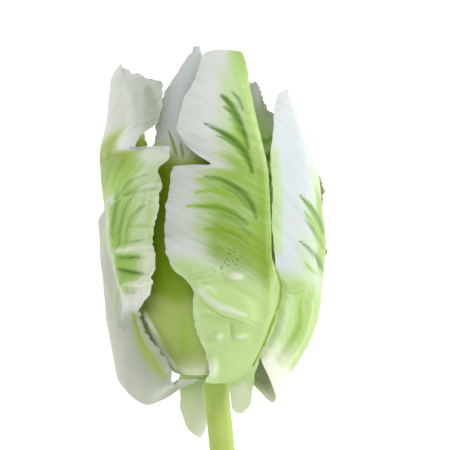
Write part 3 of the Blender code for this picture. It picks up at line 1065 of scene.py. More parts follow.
FRONT = Tepal(
    name="outer_tepal_front",
    slot=Slot.OUTER,
    length=101.8,
    rib=((0, 27, 0), (0.2, 29, 0), (0.3, 30, 0), (0.54, 27.5, 0), (0.66, 26.5, 0), (0.78, 22.5, 0),
         (0.89, 17.5, 0), (1, 13, 0)),
    left=((0, -20, 0, 0), (0.05, -14, 6, 0), (0.13, -4, 16, 0), (0.165, -7, 21, 0), (0.235, -12, 30, 0),
          (0.31, -11, 38.4, 0), (0.355, -22, 44, 0), (0.42, -26.5, 51, 0), (0.5, -25, 59, 0),
          (0.62, -22, 70.3, 0), (0.638, -2, 70.8, 0), (0.675, -14, 75.3, 0), (0.73, -22, 80.9, 0),
          (0.8, -18.8, 87.7, 0), (0.88, -13.3, 93.3, 0), (0.97, -7.6, 101, 0), (1, 3, 102, 0)),
    right=((0, 66, 0, 0), (0.012, 52, 2, 3), (0.03, 37, 4, 7.2), (0.05, 37, 6, 8.4), (0.07, 38, 8.5, 7),
           (0.09, 36, 11, 4), (0.12, 34.5, 15, 1), (0.16, 35, 20.5, 0), (0.25, 38, 29, 0.4),
           (0.33, 39, 37.4, 0.4), (0.37, 36, 42, -0.4), (0.42, 33.5, 47, -3), (0.5, 32, 55, -7),
           (0.65, 31.5, 70, -7), (0.8, 28, 84, -5), (0.9, 24.5, 93, -1.5), (0.97, 21, 100, -0.2),
           (1, 19, 101.5, 0)),
    turn=(1.0, 2.2),
    steps=((-1, 0.27, 0.31, 0.1, 0.35, 1.3),),
    wave=(0.5, 15.0, 0.3),
    fringe=((0.3, 3.2), (0.1, 3.0)),
    ruffle=(0.3, 5.5),
    washes=(
        # painted shade: the left side, turned away from the key light, greyed
        Wash(Tint.PAINTED_SHADE_GREY, 0.4, (0.4, 0.44, 0.7, 0.74), (-3.0, -2.0, -0.8, -0.4)),
        Wash(Tint.OLIVE_AND_PAINTED_SHADE, 0.4, (0.42, 0.46, 0.66, 0.7), (-0.85, -0.66, -0.4, -0.25)),
        Wash(Tint.LIME, 0.8, (-1.0, -0.5, 0.35, 0.42), (-1.3, -0.85, 2.0, 3.0)),
        Wash(Tint.LIME, 0.6, (0.55, 0.64, 0.88, 1.0), (-0.75, -0.3, 2.0, 3.0)),
        Wash(Tint.LIME, 0.8, (0.25, 0.4, 0.78, 0.9), (-0.3, -0.05, 2.0, 3.0)),
        Wash(Tint.LIME, 0.8, (0.7, 0.8, 1.2, 1.3), (-0.55, 0.0, 2.0, 3.0)),
        Wash(Tint.GREEN, 0.68, (0.34, 0.44, 0.66, 0.71), (-0.92, -0.45, 0.0, 0.25)),
        Wash(Tint.GREEN, 0.46, (0.76, 0.84, 1.2, 1.3), (-0.35, 0.35, 2.0, 3.0)),
        Wash(Tint.DEEP_AND_PAINTED_SHADE, 0.36, (0.33, 0.42, 0.7, 0.76), (-0.9, -0.4, 0.5, 0.8)),
        Wash(Tint.DEEP_AND_PAINTED_SHADE, 0.6, (0.33, 0.42, 0.48, 0.55), (-0.72, -0.48, 0.35, 0.7)),
        # painted shade: the tucked right margin darkened into the shadow line beside the tepal on its
        # right
        Wash(Tint.DEEP_AND_PAINTED_SHADE, 0.62, (0.2, 0.42, 0.74, 0.86), (0.6, 0.85, 2.0, 3.0)),
        # the right lobes' pale foot: partly their own paleness, partly painted light where they lie in
        # shade
        Wash(Tint.PALE_AND_PAINTED_LIGHT, 0.8, (-1.0, -0.5, 0.07, 0.12), (0.1, 0.5, 2.0, 3.0)),
    ),
    strokes=(
        Stroke(Tint.GREEN, seen((226, 98), (237, 122), (245, 148), (251, 175)), (1.3, 2.6), 0.9),
        Stroke(Tint.GREEN, seen((222, 132), (236, 142), (247, 158)), (1.3, 2.2), 1.0),
        Stroke(Tint.FLAME_AND_PAINTED_SHADE, seen((222, 96), (229, 103), (237, 115), (245, 133)), (1.2, 1.0), 1.1),
        Stroke(Tint.FLAME_AND_PAINTED_SHADE, seen((231, 91), (238, 99), (243, 110)), (0.6, 0.7), 0.85),
        Stroke(Tint.FLAME_AND_PAINTED_SHADE, seen((224, 107), (233, 114), (242, 128), (248, 148)), (0.8, 1.1), 1.0),
        Stroke(Tint.FLAME_AND_PAINTED_SHADE, seen((228, 119), (237, 125), (245, 138)), (0.6, 0.8), 0.85),
        Stroke(Tint.FLAME_AND_PAINTED_SHADE, seen((205, 124), (220, 131), (236, 142), (247, 156), (252, 172)), (0.7, 1.1),
               1.15),
        Stroke(Tint.FLAME_AND_PAINTED_SHADE, seen((216, 135), (229, 142), (240, 151), (248, 165)), (0.5, 0.8), 0.85),
        Stroke(Tint.FLAME_AND_PAINTED_SHADE, seen((232, 138), (242, 146), (250, 160)), (0.6, 0.8), 0.8),
        Stroke(Tint.FLAME_AND_PAINTED_SHADE, seen((205, 176), (220, 179), (238, 189), (250, 201), (256, 218)), (0.6, 1.2),
               1.0),
        Stroke(Tint.FLAME_AND_PAINTED_SHADE, seen((222, 186), (238, 196), (250, 210)), (0.5, 0.8), 0.75),
        Stroke(Tint.FLAME_AND_PAINTED_SHADE, seen((194, 206), (213, 207), (233, 213), (247, 224)), (0.5, 0.9), 0.75),
        Stroke(Tint.FLAME_AND_PAINTED_SHADE, seen((214, 213), (234, 220), (250, 234)), (0.5, 0.8), 0.7),
        Stroke(Tint.FLAME_AND_PAINTED_SHADE, seen((212, 228), (232, 233), (250, 246)), (0.4, 0.7), 0.5),
        Stroke(Tint.FLAME_AND_PAINTED_SHADE, seen((222, 245), (236, 251), (252, 264)), (0.4, 0.7), 0.4),
        Stroke(Tint.GREEN, seen((188, 206), (212, 206), (235, 213)), (0.6, 1.0), 1.1),
        Stroke(Tint.GREEN, seen((196, 192), (212, 191), (234, 197)), (0.7, 1.0), 1.0),
        Stroke(Tint.GREEN, seen((198, 179), (216, 180)), (0.6, 0.8), 0.8),
        Stroke(Tint.GREEN, seen((204, 229), (222, 230), (248, 238)), (0.8, 1.3), 1.1),
        Stroke(Tint.PALE_AND_PAINTED_LIGHT, seen((192, 200), (212, 200), (236, 207)), (0.3, 0.3), 0.35),
        Stroke(Tint.LIME, seen((247, 115), (256, 140), (262, 168), (264, 200), (266, 250), (268, 300),
               (258, 338)), (1.0, 1.0), 1.3),
        # painted highlight: a thin pale line along the raised keel
        Stroke(Tint.PALE_AND_PAINTED_LIGHT, seen((263, 168), (265, 200), (266, 245), (268, 280)), (0.35, 0.35), 0.4),
        # painted highlight along the flap's raised crest, over its pale rim
        Stroke(Tint.PALE_AND_PAINTED_LIGHT, seen((199, 288), (207, 296), (218, 304), (232, 309), (245, 314)), (1.1, 0.8),
               1.0),
        Stroke(Tint.PALE_AND_PAINTED_LIGHT, seen((200, 289), (208, 287), (216, 292)), (0.9, 0.9), 0.75),
        # painted highlights on the ridges of the three small pleats
        Stroke(Tint.PALE_AND_PAINTED_LIGHT, seen((191, 272), (200, 270), (209, 268)), (0.3, 0.2), 0.7),
        Stroke(Tint.PALE_AND_PAINTED_LIGHT, seen((192, 276), (203, 274), (212, 272)), (0.3, 0.2), 0.6),
        Stroke(Tint.PALE_AND_PAINTED_LIGHT, seen((194, 282), (204, 280), (212, 279)), (0.3, 0.2), 0.6),
        # painted shadow under the flap's crest
        Stroke(Tint.DEEP_AND_PAINTED_SHADE, seen((200, 299), (209, 307), (220, 314), (231, 318), (244, 323)), (0.3, 0.35),
               0.55),
        # painted shadows under the white bump and the two small bumps
        Stroke(Tint.OLIVE_AND_PAINTED_SHADE, seen((224, 283), (235, 285), (246, 284)), (0.5, 0.5), 0.7),
        Stroke(Tint.OLIVE_AND_PAINTED_SHADE, seen((206, 330), (216, 334), (222, 341)), (0.4, 0.4), 0.5),
        Stroke(Tint.OLIVE_AND_PAINTED_SHADE, seen((233, 341), (241, 343), (247, 340)), (0.35, 0.35), 0.5),
        Stroke(Tint.PALE_AND_PAINTED_LIGHT, seen((196, 296), (198, 318), (205, 342)), (0.5, 0.5), 0.45),
        # painted shadow along the right edge, where this tepal meets the one on its right
        Stroke(Tint.DEEP_AND_PAINTED_SHADE, seen((275, 270), (281, 285), (280, 298), (274, 316), (263, 345), (253, 365)),
               (0.6, 0.6),
               0.85),
    ),
    folds=(
        Fold(seen((198, 291), (206, 298), (216, 306), (229, 312), (246, 318)), 1.6, 3.2, 0.4),
        Fold(seen((189, 272), (203, 270), (217, 266)), 0.7, 0.7, 0.35),
        Fold(seen((191, 277), (203, 275), (217, 271)), 0.6, 0.6, 0.35),
        Fold(seen((193, 283), (206, 281), (220, 278)), 0.7, 0.7, 0.35),
        Fold(seen((247, 115), (256, 140), (262, 168), (264, 200), (266, 250), (268, 300), (258, 338)),
             0.6, 1.4, 1.0),
        Fold(seen((176, 168), (186, 165), (204, 165), (214, 169)), 0.9, 0.45, 2.2),
        Fold(seen((204, 180), (222, 185), (242, 196), (255, 214)), -0.5, 0.9, 0.9),
        Fold(seen((194, 214), (215, 217), (238, 226), (254, 240)), -0.4, 0.9, 0.9),
        Fold(seen((210, 130), (226, 138), (240, 149), (250, 164)), -0.5, 1.0, 0.8),
        Fold(seen((228, 102), (238, 121), (247, 140)), -0.4, 1.2, 0.9),
        Fold(seen((232, 336), (231, 322)), -0.9, 0.6, 0.6),
        Fold(seen((208, 344), (219, 340), (231, 344), (246, 342)), 0.5, 1.2, 0.5),
    ),
    bumps=(
        # each bump is painted pale where it swells: a painted highlight on the raised spot, over tissue
        # that is whitish there
        Bump(seen((234.5, 276)), (2.2, 1.0), 1.5),
        Bump(seen((219, 335)), (0.9, 0.8), 1.0, Tint.PALE_AND_PAINTED_LIGHT, 0.9),
        Bump(seen((240, 335)), (1.8, 0.7), 0.9, Tint.PALE_AND_PAINTED_LIGHT, 0.8),
        Bump(seen((213, 366)), (1.3, 2.8), 1.5),
    ),
    feathers=(Feathers(7, (0.45, 0.66), 12.0, 0.5, 4), Feathers(5, (0.7, 0.88), 5.0, 0.4, 9)),
    specks=(Bump(seen((229, 257)), (4.2, 3.6), 0.0), Bump(seen((219, 270)), (1.6, 1.2), 0.0)),
)

LEFT = Tepal(
    name="outer_tepal_left",
    slot=Slot.OUTER,
    length=98.4,
    rib=((0, -93, 0), (0.05, -82, 1.8), (0.085, -73, 5.6), (0.12, -68, 8.8), (0.155, -64, 9.2),
         (0.18, -64, 7.6), (0.2, -65, 6), (0.28, -64, 2.4), (0.36, -68, 0.8), (0.44, -78, 0.3),
         (0.52, -86, -0.5), (0.6, -92, 0), (0.68, -93, 1.4), (0.75, -92, 2.4), (0.83, -90, 2.6),
         (0.9, -88, 3.5), (0.96, -86, 4), (1, -82, 3)),
    left=((0, -130, 0, 0), (0.05, -118, 6, 0.8), (0.09, -100, 11, 7.2), (0.14, -112, 16, 6.5),
          (0.2, -122, 22, 5.5), (0.3, -132, 33, 4.4), (0.4, -138, 44, 2.6), (0.5, -139, 54, 1),
          (0.6, -138, 63, 0.6), (0.7, -138, 74, 0.8), (0.8, -134, 83, 1.2), (0.88, -124, 90, 2),
          (0.95, -106, 96, 2.8), (1, -95, 98.5, 3)),
    right=((0, -50, 0, 0), (0.03, -52, 4, -0.8), (0.055, -49, 7.5, -0.5), (0.085, -41, 11, 2.6),
           (0.11, -32, 14, 4.4), (0.14, -32.5, 17, 2.4), (0.17, -38.5, 20, 0.9), (0.22, -45, 25, 0.3),
           (0.26, -49, 29.8, 0), (0.29, -44, 33.5, 0.1), (0.32, -34, 37.5, 0.3), (0.36, -30.5, 42, 0.3),
           (0.45, -29.8, 52, 0.3), (0.51, -28.2, 58.6, 0.4), (0.58, -26.8, 65.5, 0.7), (0.62, -29, 69, 1),
           (0.65, -22.7, 73, 1.8), (0.67, -24, 75.3, 1.8), (0.688, -44.5, 75, 2), (0.71, -42, 77, 2),
           (0.74, -38, 79, 1.7), (0.77, -34, 81, 1.2), (0.88, -32, 90.5, 0.8), (0.93, -35, 93.5, 0.6),
           (1, -46, 95.5, 1)),
    steps=((1, 0.29, 0.55, 0.02, 0.12, 2.0),),
    wave=(0.6, 13.0, 0.9),
    fringe=((0.35, 3.0), (0.45, 2.4)),
    ruffle=(0.4, 4.6),
    dips=((0.6, 0.1, 1.1), (0.05, 0.3, 0.8), (-1.0, 0.5, 1.4), (1.0, 0.2, 1.5)),
    washes=(
        # painted shade: grey over the foot, the lower left blade and the top, with an olive tinge on the
        # lower left blade, all turned from the key light
        Wash(Tint.PAINTED_SHADE_GREY, 0.85, (-1.0, -0.5, 0.27, 0.33)),
        Wash(Tint.PAINTED_SHADE_GREY, 0.95, (0.2, 0.26, 0.56, 0.61), (-3.0, -2.0, 0.3, 0.44)),
        Wash(Tint.OLIVE_AND_PAINTED_SHADE, 0.34, (0.4, 0.48, 0.57, 0.62), (-3.0, -2.0, 0.3, 0.44)),
        Wash(Tint.PAINTED_SHADE_GREY, 0.5, (0.7, 0.8, 1.2, 1.3)),
        Wash(Tint.OLIVE_AND_PAINTED_SHADE, 1.0, (0.56, 0.62, 0.73, 0.82), (-1.2, -0.9, 0.62, 0.85)),
        Wash(Tint.DEEP_AND_PAINTED_SHADE, 0.62, (0.6, 0.66, 0.73, 0.79), (-1.3, -1.0, 0.55, 0.72)),
        Wash(Tint.LIME, 0.6, (0.3, 0.36, 0.62, 0.7), (0.32, 0.44, 0.95, 1.2)),
        Wash(Tint.GREEN, 0.74, (0.31, 0.37, 0.62, 0.7), (0.34, 0.46, 0.62, 0.97)),
        Wash(Tint.GREEN, 0.68, (0.57, 0.63, 0.68, 0.76), (-1.1, -0.8, 0.3, 0.5)),
        Wash(Tint.PALE_AND_PAINTED_LIGHT, 0.85, (0.27, 0.31, 0.4, 0.45), (0.66, 0.9, 2.0, 3.0)),
    ),
    strokes=(
        Stroke(Tint.GREEN, seen((104, 184), (107, 168), (110, 148)), (0.8, 0.3), 0.9),
        Stroke(Tint.GREEN, seen((112, 186), (117, 172), (126, 158)), (0.8, 0.3), 0.9),
        Stroke(Tint.FLAME_AND_PAINTED_SHADE, seen((105, 188), (103, 166), (106, 140)), (0.6, 0.2), 0.55),
        Stroke(Tint.FLAME_AND_PAINTED_SHADE, seen((114, 236), (115, 214), (121, 195), (134, 181), (152, 174)), (1.3, 0.5),
               0.75),
        Stroke(Tint.FLAME_AND_PAINTED_SHADE, seen((120, 246), (122, 222), (129, 202), (142, 188)), (0.9, 0.5), 0.7),
        Stroke(Tint.FLAME_AND_PAINTED_SHADE, seen((126, 243), (129, 224), (140, 208), (153, 203)), (0.8, 0.5), 0.6),
        Stroke(Tint.FLAME_AND_PAINTED_SHADE, seen((120, 244), (133, 241), (148, 240)), (0.6, 0.4), 0.7),
        Stroke(Tint.LIME, seen((142, 200), (150, 215), (150, 240)), (1.2, 1.2), 0.9),
        Stroke(Tint.GREEN, seen((121, 229), (138, 226), (154, 226)), (0.8, 0.5), 0.7),
        # painted highlights on the two pleat ridges and painted shade in the two grooves between them;
        # the lime between the grooves is the tissue's own
        Stroke(Tint.PALE_AND_PAINTED_LIGHT, seen((117, 251), (134, 249), (153, 246)), (0.9, 0.9), 0.9),
        Stroke(Tint.FLAME_AND_PAINTED_SHADE, seen((120, 257), (131, 257), (145, 256)), (0.8, 0.5), 0.95),
        Stroke(Tint.LIME, seen((124, 263), (136, 263), (147, 262)), (0.6, 0.6), 1.0),
        Stroke(Tint.FLAME_AND_PAINTED_SHADE, seen((120, 269), (131, 273), (147, 275)), (1.0, 0.6), 1.05),
        Stroke(Tint.PALE_AND_PAINTED_LIGHT, seen((127, 284), (141, 283), (152, 279), (158, 272)), (0.8, 1.0), 0.9),
        Stroke(Tint.PALE_AND_PAINTED_LIGHT, seen((150, 256), (155, 268), (156, 280)), (0.9, 0.9), 0.8),
        # painted highlight along the crest where the upper blade stands over the lower one, over its
        # whitish rim
        Stroke(Tint.PALE_AND_PAINTED_LIGHT, seen((115, 250), (118, 270), (122, 286), (130, 304)), (0.7, 0.9), 0.6),
        Stroke(Tint.PALE_AND_PAINTED_LIGHT, seen((114, 252), (117, 260)), (0.9, 0.9), 0.7),
        Stroke(Tint.PALE_AND_PAINTED_LIGHT, seen((120, 284), (126, 291)), (0.9, 0.9), 0.7),
        # painted shadow under the lower pleat ridge
        Stroke(Tint.FLAME_AND_PAINTED_SHADE, seen((124, 290), (132, 292), (141, 290)), (0.4, 0.3), 0.6),
        Stroke(Tint.PALE_AND_PAINTED_LIGHT, seen((134, 300), (142, 308), (148, 318)), (1.2, 0.6), 0.8),
        # painted highlight on the raised lobe, which is whitish in itself
        Stroke(Tint.PALE_AND_PAINTED_LIGHT, seen((140, 190), (150, 185), (160, 185)), (0.5, 0.9), 0.8),
        Stroke(Tint.PALE_AND_PAINTED_LIGHT, seen((160, 190), (157, 215), (155, 240)), (0.6, 0.5), 0.6),
        # painted shade, with a green cast, where this blade meets the inner tepal's margin
        Stroke(Tint.OLIVE_AND_PAINTED_SHADE, seen((133, 314), (139, 338), (150, 358), (163, 376)), (1.2, 2.8), 0.85),
        Stroke(Tint.DEEP_AND_PAINTED_SHADE, seen((132, 312), (137, 332), (145, 350)), (0.6, 0.6), 0.45),
        # painted shade over the panel folded away beside the tip, and painted light over the lit panel
        # left of the crease
        Stroke(Tint.PAINTED_SHADE_GREY, seen((148, 88), (153, 108), (152, 130), (140, 148)), (2.4, 2.2), 1.1),
        Stroke(Tint.PALE_AND_PAINTED_LIGHT, seen((128, 90), (134, 105), (134, 125), (122, 146)), (1.6, 2.2), 0.5),
    ),
    folds=(
        Fold(seen((130, 82), (138, 98), (143, 112), (142, 124), (134, 136), (118, 150)), 1.7, 2.0, 4.5),
        Fold(seen((173, 160), (165, 166), (156, 172), (142, 182), (130, 192)), 1.2, 0.4, 2.2),
        Fold(seen((117, 251), (134, 249), (153, 246)), 1.6, 0.9, 0.5),
        Fold(seen((121, 258), (131, 258), (146, 257)), -0.9, 0.6, 0.6),
        Fold(seen((122, 270), (131, 273), (147, 275)), -1.2, 0.9, 0.7),
        Fold(seen((127, 285), (141, 284), (152, 279), (158, 271)), 1.6, 1.0, 0.45),
        Fold(seen((113, 222), (116, 250), (119, 272), (124, 290), (131, 305)), 0.9, 1.0, 0.35),
        Fold(seen((134, 194), (146, 188), (160, 186)), 0.6, 0.7, 0.5),
        Fold(seen((133, 314), (139, 338), (150, 358), (164, 378)), -0.7, 0.8, 1.0),
        Fold(seen((112, 235), (106, 262), (106, 300), (116, 335)), 0.4, 1.5, 1.5),
    ),
    bumps=(
        Bump(seen((156, 157)), (4.6, 2.2), 0.3, Tint.PALE_AND_PAINTED_LIGHT, 0.85),
        Bump(seen((136, 385)), (3.2, 6.5), 0.3, Tint.PALE_AND_PAINTED_LIGHT, 0.4),
        Bump(seen((149, 323)), (0.7, 1.6), 0.3, Tint.PALE_AND_PAINTED_LIGHT, 0.9),
    ),
    vein_rise=1.1,
    feathers=(Feathers(9, (0.3, 0.66), 13.0, 0.6, 12, sides=(1,)),),
    specks=(Bump(seen((150, 202)), (1.4, 1.4), 0.0),),
)

BACK = Tepal(
    name="outer_tepal_back",
    slot=Slot.OUTER,
    length=95.0,
    rib=((0, 147, 0), (0.3, 149, 0.6), (0.5, 150, 0.8), (0.7, 149, 0.4), (0.85, 149, -0.4),
         (0.93, 150, -1), (1, 152, -1.5)),
    left=((0, 104, 0, 0), (0.05, 106, 6, 0.6), (0.1, 110, 12, 2.4), (0.17, 110, 20, 2),
          (0.28, 107, 31, 1.6), (0.39, 104, 42, 1.4), (0.5, 105, 53, 0.9), (0.6, 105, 62, 0.6),
          (0.72, 108, 73, 0.3), (0.8, 116, 80, 0), (0.85, 132, 84.5, -0.3), (0.89, 143, 87.5, -0.6),
          (0.95, 146, 92, -1), (1, 149, 95.5, -1.5)),
    right=((0, 190, 0, 0), (0.012, 201, 2.2, 5), (0.03, 198, 4.5, 13.5), (0.05, 199, 6.5, 16.4),
           (0.068, 204, 8.2, 15.6), (0.085, 209, 10, 12), (0.105, 211, 11.5, 7), (0.13, 209, 14, 3.5),
           (0.17, 203, 18, 1.5), (0.22, 199, 24, 0.8), (0.3, 201, 33, 0.8), (0.45, 202, 48, 0.8),
           (0.6, 201, 62, 0.6), (0.75, 194, 75, 0.3), (0.87, 180, 85, -0.2), (0.95, 165, 92, -1),
           (1, 156, 95.5, -1.5)),
    wave=(0.7, 16.0, 0.2),
    fringe=((0.55, 2.4), (0.5, 2.6)),
    ruffle=(0.45, 4.2),
    washes=(
        # painted shade: the left side greyed
        Wash(Tint.PAINTED_SHADE_GREY, 0.4, (0.3, 0.5, 1.2, 1.3), (-3.0, -2.0, -0.7, -0.3)),
        Wash(Tint.OLIVE_AND_PAINTED_SHADE, 0.5, (0.62, 0.74, 0.9, 0.96), (-0.85, -0.6, 0.2, 0.5)),
        Wash(Tint.PALE_AND_PAINTED_LIGHT, 0.9, (-1.0, -0.5, 0.07, 0.13)),
        Wash(Tint.LIME, 0.55, (-1.0, -0.5, 0.2, 0.4)),
        Wash(Tint.LIME, 0.8, (0.1, 0.22, 0.85, 0.97), (-0.2, -0.04, 0.04, 0.2)),
        Wash(Tint.GREEN, 0.6, (0.16, 0.28, 0.6, 0.85), (-0.45, -0.1, 0.1, 0.45)),
    ),
    feathers=(
        Feathers(12, (0.18, 0.85), 16.0, 0.95, 21),
        Feathers(8, (0.25, 0.8), 9.0, 0.9, 23, Tint.FLAME_AND_PAINTED_SHADE),
    ),
)

INNER_RIGHT = Tepal(
    name="inner_tepal_right",
    slot=Slot.INNER,
    length=92.4,
    rib=((0, 80, -2), (0.05, 80, -1.6), (0.1, 80, 1), (0.15, 81, 2.6), (0.22, 83, 2.2), (0.32, 86, 1.8),
         (0.4, 88, 0.8), (0.46, 88, 0.2), (0.54, 88, 0.1), (0.65, 88, -1), (0.74, 87, -1.3),
         (0.82, 86, -2.1), (0.9, 84, -2.9), (0.96, 81, -3.6), (1, 76, -4.3)),
    left=((0, 35, 0, -2), (0.035, 40, 4.5, -2.4), (0.06, 49, 8, 0.5), (0.09, 54, 11.5, 8),
          (0.12, 47, 14, 4.6), (0.15, 39, 17.5, -1.0), (0.19, 37.5, 22, -3.2), (0.25, 39, 27, -3.6),
          (0.34, 39, 36, -3.6), (0.38, 38, 40, -3.4), (0.43, 35.2, 44.5, -2.9), (0.5, 32.8, 51, -2.4),
          (0.62, 32, 62, -2.3), (0.7, 32.6, 70, -2.2), (0.8, 36.2, 80, -2.4), (0.87, 40.5, 85, -2.8),
          (0.93, 47, 88.8, -3.4), (0.975, 55, 91.5, -4), (1, 65, 92.6, -4.3)),
    right=((0, 125, 0, -2), (0.06, 118, 7, -2.4), (0.2, 125, 18, -3.2), (0.4, 127, 37, -3.8),
           (0.55, 128, 51, -3.8), (0.7, 124, 66, -3.8), (0.82, 115, 76, -4), (0.92, 104, 85, -4.2),
           (0.98, 92, 91, -4.4), (1, 84, 92.4, -4.4)),
    steps=((-1, 0.38, 1.2, 0.25, 0.6, 1.1),),
    wave=(0.5, 17.0, 0.5),
    fringe=((0.12, 4.0), (0.3, 3.0)),
    ruffle=(0.16, 6.0),
    vein_rise=1.0,
    washes=(
        # painted shade: the top greyed
        Wash(Tint.PAINTED_SHADE_GREY, 0.25, (0.8, 0.95, 1.2, 1.3)),
        Wash(Tint.LIME, 0.8, (-1.0, -0.5, 0.36, 0.46)),
        Wash(Tint.LIME, 0.65, (0.42, 0.5, 0.72, 0.8), (-2.0, -1.5, -0.95, -0.8)),
        Wash(Tint.GREEN, 0.36, (0.18, 0.24, 0.36, 0.44)),
        # the pale foot: partly its own paleness, partly painted light where it lies in shade
        Wash(Tint.PALE_AND_PAINTED_LIGHT, 1.15, (-1.0, -0.5, 0.14, 0.19)),
        Wash(Tint.LIME, 0.5, (0.3, 0.4, 0.5, 0.58), (-0.9, -0.6, 0.4, 0.8)),
        Wash(Tint.LIME, 0.6, (0.42, 0.5, 0.7, 0.8), (-0.6, -0.3, 0.4, 0.8)),
        Wash(Tint.GREEN, 0.85, (0.38, 0.48, 0.64, 0.72), (-0.46, -0.2, 0.4, 0.8)),
        # more painted light up the left of the foot, which lies in shade
        Wash(Tint.PALE_AND_PAINTED_LIGHT, 0.75, (-1.0, -0.5, 0.16, 0.26), (-2.0, -1.5, -0.4, -0.1)),
    ),
    strokes=(
        Stroke(Tint.GREEN, seen((300, 195), (311, 210), (321, 230)), (0.5, 1.4), 1.0),
        Stroke(Tint.FLAME_AND_PAINTED_SHADE, seen((300, 196), (310, 207), (317, 218), (322, 232)), (0.5, 1.0), 0.95),
        Stroke(Tint.FLAME_AND_PAINTED_SHADE, seen((299, 241), (309, 249), (317, 260), (322, 270)), (0.5, 1.1), 1.0),
        Stroke(Tint.FLAME_AND_PAINTED_SHADE, seen((304, 220), (314, 232), (322, 248)), (0.4, 0.8), 0.75),
        Stroke(Tint.GREEN, seen((304, 212), (314, 226), (321, 246)), (0.8, 1.6), 0.9),
        Stroke(Tint.GREEN, seen((304, 262), (314, 274)), (0.5, 0.8), 0.8),
        Stroke(Tint.GREEN, seen((300, 296), (300, 320), (289, 345), (276, 364)), (0.5, 0.9), 0.75),
        Stroke(Tint.LIME, seen((312, 288), (308, 306), (304, 326), (295, 346), (284, 364)), (0.9, 1.2),
               1.1),
        Stroke(Tint.PALE_AND_PAINTED_LIGHT, seen((290, 292), (287, 308), (280, 328), (268, 350), (256, 368)), (1.8, 1.8),
               0.5),
        Stroke(Tint.OLIVE_AND_PAINTED_SHADE, seen((289, 284), (303, 282)), (0.7, 0.7), 0.6),
        Stroke(Tint.PALE_AND_PAINTED_LIGHT, seen((270, 390), (279, 384)), (1.4, 1.4), 0.5),
    ),
    folds=(
        Fold(seen((279, 288), (291, 290), (306, 287)), 1.3, 3.6, 0.35),
        Fold(seen((284, 297), (294, 298), (304, 295)), 0.5, 0.9, 0.4),
        Fold(seen((312, 288), (308, 306), (304, 326), (295, 346), (284, 364)), 0.8, 1.0, 1.0),
        Fold(seen((296, 300), (296, 320), (285, 345), (270, 366)), -0.6, 0.9, 0.9),
        Fold(seen((285, 305), (280, 328), (268, 350), (256, 368)), 0.6, 1.2, 1.2),
        Fold(seen((286, 110), (288, 150), (290, 200), (289, 250)), -0.35, 2.5, 2.5),
        Fold(seen((300, 120), (308, 165), (313, 200)), 0.3, 1.6, 1.6),
        Fold(seen((256, 378), (266, 384), (273, 396)), 0.5, 0.9, 0.6),
    ),
    feathers=(Feathers(6, (0.38, 0.7), 9.0, 0.6, 31), Feathers(8, (0.1, 0.5), 8.0, 0.5, 33)),
)

